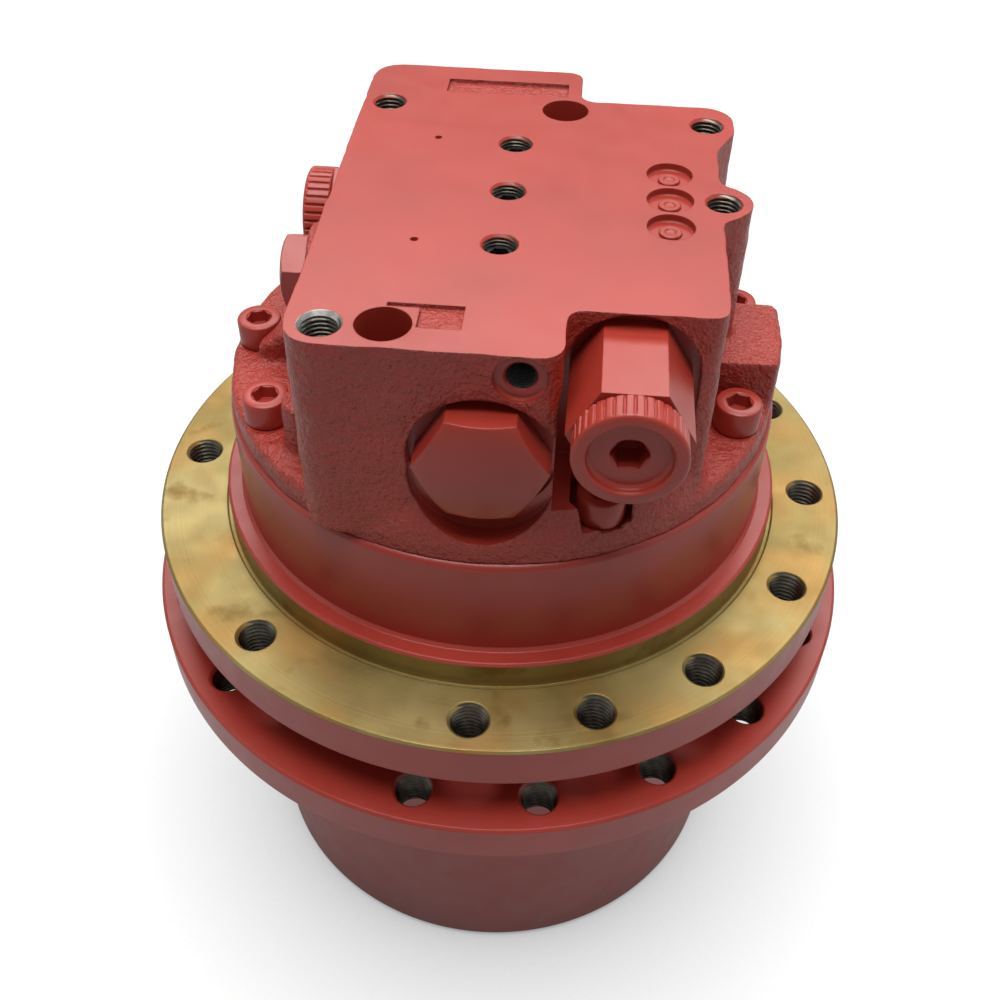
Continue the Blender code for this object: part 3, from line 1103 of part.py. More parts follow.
def make_valve_block(root):
    """Valve block casting on its round base, with its ports, seats and recesses."""
    recess = UPPER_SHAFT_BEARING_RADIUS + CLEARANCE
    recess_top = SPIGOT_Z + UPPER_SHAFT_BEARING_WIDTH + OVERRUN
    spigot = MOTOR_ROOM_RADIUS - CLEARANCE
    base = [
        (0, recess_top),
        (recess, recess_top),
        (recess, SPIGOT_Z),
        (spigot, SPIGOT_Z),
        (spigot, BASE_Z),
        (BASE_RADIUS, BASE_Z),
        (BASE_RADIUS, DECK_Z - BASE_EDGE),
        (BASE_RADIUS - BASE_EDGE, DECK_Z),
        (0, DECK_Z),
    ]
    block = add_object("valve_block", turned(base, FLANGE_FACETS), CAST_RED, root)
    fuse(block, prism(block_outline(), DECK_Z - OVERRUN, BLOCK_TOP_Z), "body")
    pad_radius = BASE_RADIUS - CLEARANCE
    pad = rim_arc(*(math.asin(y / pad_radius) for y in (RIGHT_PAD_FRONT_Y, RIGHT_PAD_BACK_Y)))
    pad += [(BLOCK_RIGHT_X - OVERRUN, RIGHT_PAD_BACK_Y), (BLOCK_RIGHT_X - OVERRUN, RIGHT_PAD_FRONT_Y)]
    fuse(block, prism(pad, DECK_Z - OVERRUN, DECK_Z + RIGHT_PAD_HEIGHT), "right_pad")
    front = rim_arc(*FRONT_PAD_ANGLES) + rim_arc(*reversed(FRONT_PAD_ANGLES), FRONT_PAD_WIDTH)
    fuse(block, prism(front, DECK_Z - OVERRUN, DECK_Z + FRONT_PAD_HEIGHT), "front_pad")
    rib = [
        (BLOCK_LEFT_X + OVERRUN, DECK_Z - OVERRUN),
        (BLOCK_LEFT_X + OVERRUN, DECK_Z + LEFT_RIB_HEIGHT),
        (BLOCK_LEFT_X - SIDE_BOSS_HEIGHT, DECK_Z + LEFT_RIB_HEIGHT),
        (LEFT_RIB_REACH_X, DECK_Z + LEFT_RIB_END_HEIGHT),
        (LEFT_RIB_REACH_X, DECK_Z - OVERRUN),
    ]
    stand = Matrix.Translation((0, LEFT_RIB_BACK_Y, 0)) @ Matrix.Rotation(math.pi / 2, 4, "X")
    fuse(block, prism(rib, 0, LEFT_RIB_WIDTH, stand), "left_rib")
    to_left = (-1, 0, 0)
    boss_place = (BLOCK_LEFT_X, SIDE_PLUG_Y, SIDE_PLUG_Z)
    foot, face = -OVERRUN, SIDE_BOSS_HEIGHT
    boss = [(0, foot), (SIDE_BOSS_RADIUS, foot), (SIDE_BOSS_RADIUS, face), (0, face)]
    fuse(block, turned(boss, SMALL_FACETS, along(boss_place, to_left)), "side_boss")
    column = ring_of(LEFT_BOSS_RADIUS, SMALL_FACETS)
    where = Matrix.Translation((*LEFT_BOSS_PLACE, 0))
    fuse(block, prism(column, DECK_Z - OVERRUN, DECK_Z + LEFT_BOSS_HEIGHT, where), "left_boss")
    cut_top_holes(block)
    cut_side_ports(block)
    cut_screw_holes(block)
    add_expander_plugs(block)


def cut_top_holes(block):
    """Tapped holes, deep bores, gallery holes, plug recesses and cast panels in the top face."""
    up = (0, 0, 1)
    cutters = []
    for place in (LEFT_REAR_TAP_PLACE, LEFT_FRONT_TAP_PLACE, RIGHT_LUG_PLACE, REAR_LUG_PLACE):
        cutters.append(hole(TOP_TAP_RADIUS, TOP_TAP_DEPTH, (*place, BLOCK_TOP_Z), up, TOP_TAP_SINK))
    for y in GALLERY_YS:
        depth = GALLERY_PLUG_DEPTH + GALLERY_PLUG_LENGTH + CLEARANCE
        cutters.append(hole(GALLERY_PLUG_RADIUS + CLEARANCE, depth, (GALLERY_X, y, BLOCK_TOP_Z), up))
    for step in (-1, 0, 1):
        place = (EXPANDER_X, EXPANDER_Y + step * EXPANDER_PITCH, BLOCK_TOP_Z)
        cutters.append(hole(EXPANDER_RECESS_RADIUS, EXPANDER_RECESS_DEPTH, place, up, 0.0, SMALL_FACETS))
    cut(block, joined(cutters), "top_holes")
    place = (*REAR_DEEP_BORE_PLACE, BLOCK_TOP_Z)
    cut(block, hole(DEEP_BORE_RADIUS, DEEP_BORE_DEPTH, place, up, 0.0, SMALL_FACETS), "deep_bore")
    panels = [
        prism(rectangle(place, size), BLOCK_TOP_Z - PANEL_DEPTH, BLOCK_TOP_Z + OVERRUN)
        for place, size in ((REAR_PANEL_PLACE, REAR_PANEL_SIZE), (FRONT_PANEL_PLACE, FRONT_PANEL_SIZE))
    ]
    cut(block, joined(panels), "panels")


def add_expander_plugs(block):
    """Pressed-in expander plugs standing in their recesses, dimpled by the punch."""
    plugs = []
    low = BLOCK_TOP_Z - EXPANDER_RECESS_DEPTH
    for step in (-1, 0, 1):
        place = Matrix.Translation((EXPANDER_X, EXPANDER_Y + step * EXPANDER_PITCH, low))
        outline = [
            (0, -OVERRUN),
            (EXPANDER_RADIUS, -OVERRUN),
            (EXPANDER_RADIUS, EXPANDER_HEIGHT),
            (EXPANDER_DIMPLE_RADIUS, EXPANDER_HEIGHT),
            (0, EXPANDER_HEIGHT / 2),
        ]
        plugs.append(turned(outline, HOLE_FACETS, place))
    fuse(block, joined(plugs), "expander_plugs")


def spool_axis(y, sign):
    """Matrix on the spool's axis at a Y, looking out of the front or the back."""
    return along((SPOOL_X, y, SPOOL_Z), (0, sign, 0))


def spool_caps():
    """Each cap: name, which way it faces and where its spot face lies."""
    return (
        ("front_spool_cap", -1, BLOCK_FRONT_Y + SPOT_FACE_DEPTH),
        ("rear_spool_cap", 1, BLOCK_BACK_Y - SPOT_FACE_DEPTH),
    )


def spool_chamber():
    """Y of the inner ends of the two caps' threads, front and rear."""
    return [seat - sign * SPOOL_CAP_THREAD_LENGTH for _, sign, seat in spool_caps()]


def cut_side_ports(block):
    """Spool bore with its spot faces, adapter seats, pilot port and side plug seat."""
    thread = SPOOL_CAP_THREAD_RADIUS + CLEARANCE
    stations = []
    for _, sign, seat in spool_caps():
        outer = (seat + sign * (SPOT_FACE_DEPTH + OVERRUN) - SPOOL_MID_Y) * sign
        face = (seat - SPOOL_MID_Y) * sign
        stations.append([(SPOT_FACE_RADIUS, outer), (SPOT_FACE_RADIUS, face), (thread, face)])
    bore = SPOOL_RADIUS + CLEARANCE
    ends = [(y - SPOOL_MID_Y) * sign - CLEARANCE for y, sign in zip(spool_chamber(), (-1, 1))]
    front, rear = stations
    profile = [(0, -front[0][1])] + [(radius, -z) for radius, z in front]
    profile += [(thread, -ends[0]), (bore, -ends[0]), (bore, ends[1]), (thread, ends[1])]
    profile += list(reversed(rear)) + [(0, rear[0][1])]
    cut(block, turned(profile, BORE_FACETS, spool_axis(SPOOL_MID_Y, 1)), "spool_bore")
    front_way = (0, -1, 0)
    seat_y = NOTCH_Y + FRONT_SEAT_DEPTH
    pocket = ring_of(ADAPTER_POCKET_RADIUS, BORE_FACETS)
    where = along((FRONT_ADAPTER_X, seat_y, FRONT_ADAPTER_Z), front_way)
    cut(block, prism(pocket, 0, FRONT_SEAT_DEPTH + OVERRUN, where), "front_pocket")
    width = 2 * ADAPTER_POCKET_RADIUS
    slot = rectangle((FRONT_ADAPTER_X, NOTCH_Y), (width, 2 * FRONT_SEAT_DEPTH))
    cut(block, prism(slot, DECK_Z, FRONT_ADAPTER_Z), "front_slot")
    depth = ADAPTER_THREAD_LENGTH + CLEARANCE
    thread = ADAPTER_THREAD_RADIUS + CLEARANCE
    ports = [
        hole(thread, depth, (FRONT_ADAPTER_X, seat_y, FRONT_ADAPTER_Z), front_way, 0.0, SMALL_FACETS),
        hole(thread, depth, (BLOCK_LEFT_X, LEFT_ADAPTER_Y, LEFT_ADAPTER_Z), (-1, 0, 0), 0.0, SMALL_FACETS),
        hole(
            SIDE_PLUG_THREAD_RADIUS + CLEARANCE,
            SIDE_PLUG_THREAD_LENGTH + CLEARANCE + SIDE_BOSS_HEIGHT,
            (BLOCK_LEFT_X - SIDE_BOSS_HEIGHT, SIDE_PLUG_Y, SIDE_PLUG_Z),
            (-1, 0, 0),
            0.0,
            SMALL_FACETS,
        ),
    ]
    cut(block, joined(ports), "ports")
    place = (PILOT_PORT_X, BLOCK_FRONT_Y, PILOT_PORT_Z)
    profile = [
        (0, -PILOT_PORT_DEPTH),
        (PILOT_PORT_RADIUS, -PILOT_PORT_DEPTH),
        (PILOT_PORT_RADIUS, -PILOT_FACE_DEPTH),
        (PILOT_FACE_RADIUS, -PILOT_FACE_DEPTH),
        (PILOT_FACE_RADIUS, OVERRUN),
        (0, OVERRUN),
    ]
    cut(block, turned(profile, SMALL_FACETS, along(place, front_way)), "pilot_port")


def screw_places():
    """(x, y) of the screws: those on the circle, then the one down the deep bore in front."""
    on_circle = [polar(SCREW_CIRCLE, angle, 0) for angle in SCREW_ANGLES]
    return [(place.x, place.y) for place in on_circle] + [FRONT_DEEP_BORE_PLACE]


def cut_screw_holes(block):
    """Stepped holes of the block's screws, spot-faced where a cast form is in the way."""
    cutters = []
    for place in screw_places():
        deep = place == FRONT_DEEP_BORE_PLACE
        seat = DEEP_BORE_RADIUS if deep else SCREW_SEAT_RADIUS
        height = BLOCK_TOP_Z - SCREW_SEAT_Z + OVERRUN if deep else SCREW_COUNTERBORE_DEPTH
        outline = [
            (0, -BASE_THICKNESS - OVERRUN),
            (SCREW_SHANK_RADIUS + CLEARANCE, -BASE_THICKNESS - OVERRUN),
            (SCREW_SHANK_RADIUS + CLEARANCE, 0),
            (seat, 0),
            (seat, height),
            (0, height),
        ]
        cutters.append(turned(outline, SMALL_FACETS, Matrix.Translation((*place, SCREW_SEAT_Z))))
    cut(block, joined(cutters), "screw_holes")


def make_screws(root):
    """Socket-head screws round the base."""
    low = SCREW_SEAT_Z + CLEARANCE
    head = low + SCREW_HEAD_HEIGHT
    for index, where in enumerate(screw_places()):
        outline = [
            (0, low - SCREW_LENGTH),
            (SCREW_SHANK_RADIUS, low - SCREW_LENGTH),
            (SCREW_SHANK_RADIUS, low),
            (SCREW_HEAD_RADIUS, low),
            (SCREW_HEAD_RADIUS, head - SCREW_HEAD_CHAMFER),
            (SCREW_HEAD_RADIUS - SCREW_HEAD_CHAMFER, head),
            (0, head),
        ]
        place = Matrix.Translation((*where, 0))
        screw = add_object(f"block_screw_{index + 1}", turned(outline, HOLE_FACETS, place), CAST_RED, root)
        socket = prism(hexagon(SCREW_SOCKET), head - SCREW_SOCKET_DEPTH, head + OVERRUN, place)
        cut(screw, socket, "socket")


def hex_plug(name, flats, height, thread, length, matrix, parent):
    """Hexagon-headed screw plug with a chamfered head, its seat at local z = 0."""
    plug = add_object(name, prism(hexagon(flats), CLEARANCE, height, matrix), CAST_RED, parent)
    slope = math.tan(HEX_CHAMFER_ANGLE)
    face = HEX_FACE_SHARE * flats / 2
    low, high = height - (flats - face) * slope, height + face * slope
    cone = [(0, -OVERRUN), (flats, -OVERRUN), (flats, low), (0, high)]
    combine(plug, turned(cone, BORE_FACETS, matrix), "INTERSECT", "chamfer")
    shank = [(0, -length), (thread, -length), (thread, height / 2), (0, height / 2)]
    fuse(plug, turned(shank, SMALL_FACETS, matrix), "thread")


def make_spool_parts(root, spool_body):
    """Counterbalance spool, its two springs and the two hexagon caps."""
    for name, sign, seat in spool_caps():
        hex_plug(
            name, SPOOL_CAP_FLATS, SPOOL_CAP_HEIGHT, SPOOL_CAP_THREAD_RADIUS,
            SPOOL_CAP_THREAD_LENGTH, spool_axis(seat, sign), root,
        )
    land = SPOOL_HALF_LENGTH - SPOOL_LAND_LENGTH
    tip = SPOOL_HALF_LENGTH + SPOOL_NOSE_LENGTH
    profile = [
        (0, -tip),
        (SPOOL_NOSE_RADIUS, -tip),
        (SPOOL_NOSE_RADIUS, -SPOOL_HALF_LENGTH),
        (SPOOL_RADIUS, -SPOOL_HALF_LENGTH),
        (SPOOL_RADIUS, -land),
        (SPOOL_WAIST_RADIUS, -land),
        (SPOOL_WAIST_RADIUS, land),
        (SPOOL_RADIUS, land),
        (SPOOL_RADIUS, SPOOL_HALF_LENGTH),
        (SPOOL_NOSE_RADIUS, SPOOL_HALF_LENGTH),
        (SPOOL_NOSE_RADIUS, tip),
        (0, tip),
    ]
    mesh = turned(profile, SMALL_FACETS, spool_axis(SPOOL_MID_Y, 1))
    add_object("counterbalance_spool", mesh, GEAR_STEEL, spool_body)
    for (name, sign, _), end in zip(spool_caps(), spool_chamber()):
        start = SPOOL_MID_Y + sign * (SPOOL_HALF_LENGTH + CLEARANCE)
        length = abs(end - start) - CLEARANCE
        mesh = coil(length, spool_axis(start, sign))
        add_object(name.replace("cap", "spring"), mesh, GEAR_STEEL, root)


def coil(length, matrix):
    """Compression spring along local Z with its wire's centreline on a helix."""
    mesh = bmesh.new()
    rings = []
    count = SPRING_TURNS * SPRING_STEPS
    rise = length - 2 * SPRING_WIRE
    for step in range(count + 1):
        angle = step * 2 * math.pi / SPRING_STEPS
        middle = Vector((math.cos(angle), math.sin(angle), 0))
        height = SPRING_WIRE + rise * step / count
        ring = []
        for side in range(SPRING_SIDES):
            around = side * 2 * math.pi / SPRING_SIDES
            out = middle * (SPRING_RADIUS + SPRING_WIRE * math.cos(around))
            up = Vector((0, 0, height + SPRING_WIRE * math.sin(around)))
            ring.append(mesh.verts.new(out + up))
        rings.append(ring)
    for first, second in zip(rings, rings[1:]):
        for side in range(SPRING_SIDES):
            after = (side + 1) % SPRING_SIDES
            mesh.faces.new((first[side], second[side], second[after], first[after]))
    mesh.faces.new(rings[0])
    mesh.faces.new(rings[-1])
    bmesh.ops.recalc_face_normals(mesh, faces=mesh.faces)
    mesh.transform(matrix)
    return mesh


def port_cap(name, matrix, parent):
    """Protective cap with a dished face, a hexagon socket and a stem in the adapter."""
    round_face = ring_of(CAP_RADIUS, BORE_FACETS)
    cap = add_object(name, prism(round_face, CLEARANCE, CAP_LENGTH, matrix), CAST_RED, parent)
    dish = CAP_LENGTH - CAP_DISH_DEPTH
    low, high = -CAP_STEM_LENGTH, dish / 2
    stem = [(0, low), (CAP_STEM_RADIUS, low), (CAP_STEM_RADIUS, high), (0, high)]
    fuse(cap, turned(stem, SMALL_FACETS, matrix), "stem")
    cut(cap, prism(ring_of(CAP_DISH_RADIUS, SMALL_FACETS), dish, CAP_LENGTH + OVERRUN, matrix), "dish")
    cut(cap, prism(hexagon(CAP_SOCKET), dish - CAP_SOCKET_DEPTH, CAP_LENGTH, matrix), "socket")


def adapter(name, length, matrix, parent):
    """Hexagon hose adapter screwed into its port, its seat at local z = 0."""
    piece = add_object(name, prism(hexagon(ADAPTER_FLATS), CLEARANCE, length, matrix), CAST_RED, parent)
    thread = [
        (0, -ADAPTER_THREAD_LENGTH),
        (ADAPTER_THREAD_RADIUS, -ADAPTER_THREAD_LENGTH),
        (ADAPTER_THREAD_RADIUS, length / 2),
        (0, length / 2),
    ]
    fuse(piece, turned(thread, SMALL_FACETS, matrix), "thread")
    bore = ring_of(ADAPTER_BORE, SMALL_FACETS)
    cut(piece, prism(bore, -ADAPTER_THREAD_LENGTH - OVERRUN, length + OVERRUN, matrix), "bore")


def make_port_fittings(root):
    """Two adapters with their caps, the side plug and the gallery plugs."""
    front = along((FRONT_ADAPTER_X, NOTCH_Y + FRONT_SEAT_DEPTH, FRONT_ADAPTER_Z), (0, -1, 0))
    left = along((BLOCK_LEFT_X, LEFT_ADAPTER_Y, LEFT_ADAPTER_Z), (-1, 0, 0))
    fittings = (("front", FRONT_ADAPTER_LENGTH, front), ("left", LEFT_ADAPTER_LENGTH, left))
    for name, length, matrix in fittings:
        adapter(f"{name}_port_adapter", length, matrix, root)
        port_cap(f"{name}_port_cap", matrix @ Matrix.Translation((0, 0, length)), root)
    side = along((BLOCK_LEFT_X - SIDE_BOSS_HEIGHT, SIDE_PLUG_Y, SIDE_PLUG_Z), (-1, 0, 0))
    hex_plug(
        "side_plug", SIDE_PLUG_FLATS, SIDE_PLUG_HEIGHT, SIDE_PLUG_THREAD_RADIUS,
        SIDE_PLUG_THREAD_LENGTH, side, root,
    )
    top = BLOCK_TOP_Z - GALLERY_PLUG_DEPTH
    low = top - GALLERY_SOCKET_DEPTH
    for index, y in enumerate(GALLERY_YS):
        place = Matrix.Translation((GALLERY_X, y, 0))
        mesh = prism(ring_of(GALLERY_PLUG_RADIUS, HOLE_FACETS), top - GALLERY_PLUG_LENGTH, top, place)
        plug = add_object(f"gallery_plug_{index + 1}", mesh, DARK_STEEL, root)
        cut(plug, prism(hexagon(GALLERY_SOCKET), low, top + OVERRUN, place), "socket")


def make_valve_plate(root):
    """Lapped plate between the cylinder block and the valve block, with its two kidney slots."""
    inner = SHAFT_RADIUS - CLEARANCE
    low, high = VALVE_PLATE_Z, VALVE_PLATE_Z + VALVE_PLATE_THICKNESS
    profile = [(inner, low), (VALVE_PLATE_RADIUS, low), (VALVE_PLATE_RADIUS, high), (inner, high)]
    plate = add_object("valve_plate", turned(profile, BORE_FACETS), BRONZE, root)
    slots = []
    for start in (0, math.pi):
        arc = [start + math.pi * share for share in KIDNEY_SHARES]
        outline = [polar(PISTON_CIRCLE - PORT_WIDTH / 2, angle, 0) for angle in arc]
        outline += [polar(PISTON_CIRCLE + PORT_WIDTH / 2, angle, 0) for angle in reversed(arc)]
        slots.append(prism([(point.x, point.y) for point in outline], low - OVERRUN, high + OVERRUN))
    cut(plate, joined(slots), "kidneys")


def planet_axes(stage, z, parent):
    """Empties on the planets' axes."""
    return [
        body(f"{stage}_planet_axis_{index + 1}", polar(CENTRE_DISTANCE, planet_angle(index), z), parent)
        for index in range(PLANETS)
    ]


def main():
    for old in list(bpy.data.objects):
        bpy.data.objects.remove(old)
    root = body("frame_side")
    hub_body = body("hub_axis", (0, 0, SPROCKET_FLANGE_Z))
    shaft_body = body("shaft_axis", (0, 0, SPINDLE_FOOT_Z))
    carrier_body = body("carrier_axis", (0, 0, CARRIER_Z))
    cages = [
        body(f"{name}_cage_axis", (0, 0, z))
        for name, z in (("lower", LOWER_BEARING_Z), ("upper", UPPER_BEARING_Z))
    ]
    first_axes = planet_axes("first", FIRST_PLANET_Z, carrier_body)
    second_axes = planet_axes("second", SECOND_PLANET_Z, root)
    swash_body = body("swash_axis", (0, 0, SWASH_PIVOT_Z))
    spool_body = body("spool_axis", (SPOOL_X, SPOOL_MID_Y, SPOOL_Z))
    brake_body = body("brake_axis", (0, 0, MOTOR_ROOM_FLOOR_Z))
    make_hub(hub_body)
    make_cover(hub_body)
    make_main_bearings(root, hub_body, cages)
    make_lock_nut(root)
    make_seal_rings(root, hub_body)
    make_spindle(root)
    make_carrier(carrier_body)
    make_second_sun(carrier_body)
    make_planets("first_stage_planet", FIRST_PLANET_Z, FIRST_FACE_WIDTH, FIRST_PLANET_BORE, first_axes)
    make_planets("second_stage_planet", SECOND_PLANET_Z, SECOND_FACE_WIDTH, SECOND_PLANET_BORE, second_axes)
    bearing_z, bearing_top, upper_z, upper_top = make_shaft(shaft_body)
    inner, outer = LOWER_SHAFT_SEAT_RADIUS + CLEARANCE, LOWER_SHAFT_BEARING_RADIUS
    shaft_bearing("lower_shaft_bearing", inner, outer, bearing_z, bearing_top, root)
    inner, outer = UPPER_SHAFT_SEAT_RADIUS + CLEARANCE, UPPER_SHAFT_BEARING_RADIUS
    shaft_bearing("upper_shaft_bearing", inner, outer, upper_z, upper_top, root)
    make_swash_plate(swash_body)
    make_cylinder_block(shaft_body)
    make_brake(brake_body, shaft_body)
    make_valve_plate(root)
    make_valve_block(root)
    make_screws(root)
    make_spool_parts(root, spool_body)
    make_port_fittings(root)


main()
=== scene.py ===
"""Excavator final drive: smooth painted, sand-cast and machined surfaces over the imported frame.

Z is the axis of the drive and z = 0 is the gearbox cover's face. The valve block's front looks
along -Y. Everything is in metres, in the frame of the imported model.
"""

import math

import bmesh
import bpy
import numpy as np
from bpy.props import FloatProperty, FloatVectorProperty, IntProperty, PointerProperty
from mathutils import Matrix, Vector


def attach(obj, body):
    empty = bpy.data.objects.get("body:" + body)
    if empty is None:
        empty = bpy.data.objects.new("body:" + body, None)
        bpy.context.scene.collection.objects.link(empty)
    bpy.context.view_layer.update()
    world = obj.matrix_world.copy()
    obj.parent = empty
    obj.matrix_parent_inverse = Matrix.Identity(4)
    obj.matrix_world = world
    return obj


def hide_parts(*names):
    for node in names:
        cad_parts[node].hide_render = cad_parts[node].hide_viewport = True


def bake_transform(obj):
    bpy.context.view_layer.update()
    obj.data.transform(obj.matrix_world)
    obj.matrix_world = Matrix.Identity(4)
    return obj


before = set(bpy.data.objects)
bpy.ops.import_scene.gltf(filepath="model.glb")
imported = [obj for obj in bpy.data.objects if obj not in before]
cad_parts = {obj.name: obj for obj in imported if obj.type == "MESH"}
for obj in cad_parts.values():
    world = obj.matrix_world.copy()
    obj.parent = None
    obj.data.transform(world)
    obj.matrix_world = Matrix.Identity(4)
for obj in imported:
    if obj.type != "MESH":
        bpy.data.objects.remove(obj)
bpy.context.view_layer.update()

bl_info = {
    "name": "Excavator Final Drive",
    "version": (1, 0, 0),
    "blender": (4, 5, 0),
    "location": "View3D > Sidebar > Final Drive",
    "description": "Builds the visible surfaces of a track motor and its gearbox",
    "category": "Add Mesh",
}

MM = 0.001
TURN = 2 * math.pi
GAP = 0.3 * MM
OVERRUN = 2.0 * MM


def mm(*values):
    """Lengths or points given in millimetres."""
    return np.array(values, float) * MM


# In the tables a profile is (radius, height) and an outline (x, y). A bore, boss or thread is (radius,
# low, high), a socket (across flats, low, high) and a tap (bore, major, pitch, depth), as far as each
# goes. A head is (across flats, height) and a shank (radius, length).

# Hub and gearbox cover
HUB_RADIUS, HUB_FILLET = mm(105.2, 4)
SPROCKET_CIRCLE, SPROCKET_LOW, SPROCKET_TOP = mm(128.2, 135.8, 152.8)
SPROCKET_PLACES = 18
SPROCKET_LEFT_OUT = (3, 12)
SPROCKET_START = math.radians(1.2)
HUB_FOOT = mm((102.2, 0), (104.8, 2.4), (105.2, 3.4))
HUB_OUTSIDE = mm(
    (140.5, 135.8), (141.5, 136.8), (141.5, 151.8), (140.5, 152.8), (119.5, 152.8), (118, 154.3),
    (118, 164.8), (97, 164.8), (97, 145.8), (86.8, 145.8),
)
HUB_BORE = mm(
    (86.8, 123.7), (82.3, 123.7), (82.3, 121), (86.8, 121), (86.8, 12), (95.05, 12), (95.05, 4.5),
    (97.55, 4.5), (97.55, 1.4), (95.05, 1.4), (95.05, 0),
)
RING_TEETH = 60
GEAR_MODULE, RING_BACKLASH = mm(3, 0.12)
GEAR_PRESSURE = math.radians(20)
GEAR_DEDENDUM = 1.25
RING_TOP, COVER_THICKNESS, PLUG_OFFSET = mm(92.5, 12, 62)
COVER = mm(
    (0, 2), (32.5, 2), (34, 1.7), (36, 0), (83.75, 0), (84.75, 1), (84.75, 3.8), (85.75, 4.8),
    (94.75, 4.8), (94.75, 11.7), (0, 11.7),
)
PLUG_SEAT = mm((0, -14), (10.3, -14), (10.3, -1), (13.3, 2), (0, 2))
PLUG = mm((0, -11.7), (10, -11.7), (10, -2.3), (9.2, -1.5), (0, -1.5))
PLUG_SOCKET = mm(8, -6.5)
CLIP_SECTION = mm((88.75, 1.7), (96.95, 1.7), (96.95, 4.2), (88.75, 4.2))
CLIP_OPENING = math.radians(14.0)

# Spindle
FLANGE_RADIUS, FLANGE_CIRCLE, FLANGE_LOW, FLANGE_TOP = mm(135, 122.3, 172.2, 190.8)
FLANGE_HOLES = np.radians([-130, -90, -70, -50, -25, 0, 25, 50, 70, 90, 130, 180])
FLANGE_TAP = mm(6.1, 7.05)
FLANGE_MOUTH = 7.4 * MM
PILOT_RADIUS, PILOT_TOP = mm(107.6, 201.4)
NECK_RADIUS, NECK_TOP, NECK_LIP = mm(100.8, 242.2, 2.6)
SPINDLE_OUTSIDE = mm(
    (66, 92.5), (66, 144.3), (80, 144.3), (80, 165.9), (97, 165.9), (97, 165.6), (117.1, 165.6),
    (118, 166.5), (118, 171.3), (118.9, 172.2), (134.1, 172.2), (135, 173.1), (135, 189.9),
    (134.1, 190.8), (109.4, 190.8), (108.9, 190.1), (107.6, 190.1), (107.6, 200.5), (106.7, 201.4),
    (102, 201.4), (100.8, 202.6),
)
SPINDLE_ROOMS = mm(
    (80, 242.2), (80, 190), (56, 190), (56, 106.5), (28, 106.5), (28, 94.5), (20, 94.5), (20, 92.5),
)
PLANET_CENTRE, PIVOT, SADDLE_OFFSET = mm(54, 140, 34.5)
PIN = mm((0, 52.5), (15.7, 52.5), (15.7, 55.5), (11.2, 55.5), (11.2, 94.5), (0, 94.5))
SADDLE_SIZE, SADDLE_HEIGHTS = mm((11, 36), (104.5, 123))
CRADLE_RADIUS, CRADLE_REACH = mm(22.6, 42)

# Valve block
BASE_RADIUS, BASE_LOW, DECK, BLOCK_TOP = mm(99.4, 242.5, 251.5, 320)
BASE = mm((0, 238.5), (99.4, 238.5), (99.4, 250), (97.9, 251.5), (0, 251.5))
# Width of the slabs that mill the casting's top and foot
SLAB = 0.4
SPIGOT = mm((0, 240.5), (22.3, 240.5), (22.3, 228.5), (79.7, 228.5), (79.7, 243.5), (0, 243.5))
BLOCK_OUTLINE = mm(
    (-56.5, -93.3, 10.5), (23.5, -93.3, 6), (23.5, -69.8, 5), (70.6, -69.8, 5),
    (70.6, -14.3, 5), (81, -14.3, 9.5), (81, 4.9, 9.5), (70.6, 4.9, 5),
    (70.6, 29.7, 9.6), (77.4, 44.1, 9.6), (77.4, 62.8, 10.5), (22.4, 62.8, 5),
    (22.4, 86.4, 5), (-56.5, 86.4, 10.5),
)
BLOCK_LEFT = -56.5 * MM
PAD_ENDS = (-23.0 / 99.2, 14.0 / 99.2)
PAD_INNER, PAD_TOP = mm(68.6, 270)
SHELF_LOW, SHELF_TOP = mm(249, 266)
SHELF_TAPER = 0.943
SHELF_SIDES, SHELF_BACK = mm((-38, 70), (-69, -67))
RIB_OUTLINE = mm((-54.5, 248), (-54.5, 273), (-65.5, 273), (-88, 257.5), (-88, 248))
RIB_PLACE, RIB_THICKNESS = mm(-2, 14)
BOSS = mm(17, -4, 9)
COLUMN = mm(8, 248.5, 271)
COLUMN_PLACE = mm((-60.5, -58))
# Lumps of the casting's skin, each (size, height)
SAND_LUMPS = mm((16, 0.9), (4.5, 0.5))
FILLET_STEPS = 9

# Spool bore and ports
SPOOL_AXIS = mm(1.1, 281)
SPOOL_MIDDLE, SPOOL_REACH = mm(-3.45, 36.3)
SPOOL_BORE = mm(10.3, -62, 62)
SPRING_RADIUS, SPRING_WIRE = mm(7, 1)
SPRING_TURNS = 5
SPOT = mm((0, -22.3), (14.3, -22.3), (14.3, 0), (22.8, 0), (22.8, 5), (23.4, 5.6), (23.4, 30), (0, 30))
# Scoop under the front cap: its floor and radius
SCOOP = mm(250.2, 22.8)
SCOOP_BACK = -90.5 * MM
# Seats of the spool's caps: place along y, and the way they face
CAP_SEATS = {"front": (-88.3 * MM, -1), "rear": (81.4 * MM, 1)}
CAP_HEAD, CAP_SHANK = mm((36, 12), (14, 22))
PILOT_PORT = mm(11.9, -93.3, 311.6)
PILOT_FACE = mm((0, -2), (7.4, -2), (8, -1.4), (8, 10), (0, 10))
PILOT_TAP = mm(4.1, 4.8, 1.25, 16)
PILOT_MOUTH, PORT_FACE_DEPTH = mm(5.2, 2)
FRONT_SEAT = mm(43.6, -64.8, 298.6)
FRONT_LENGTH = 34.8 * MM
FRONT_NOTCH = mm((28, -72), (28, -87.5), (36, -96), (41.5, -96), (48, -86.5), (48, -72))
LEFT_SEAT = mm(-56.5, 25, 290)
LEFT_LENGTH, LEFT_FACE = mm(6.5, 19.5)
PORT_BORE = mm(13.3, -16.3)
ADAPTER_FLATS = 32.0 * MM
ADAPTER_THREAD, ADAPTER_BORE = mm((13, -16), (9, -18))
POCKET_RADIUS, POCKET_DEPTH, POCKET_LOW = mm(21, 40, 261)
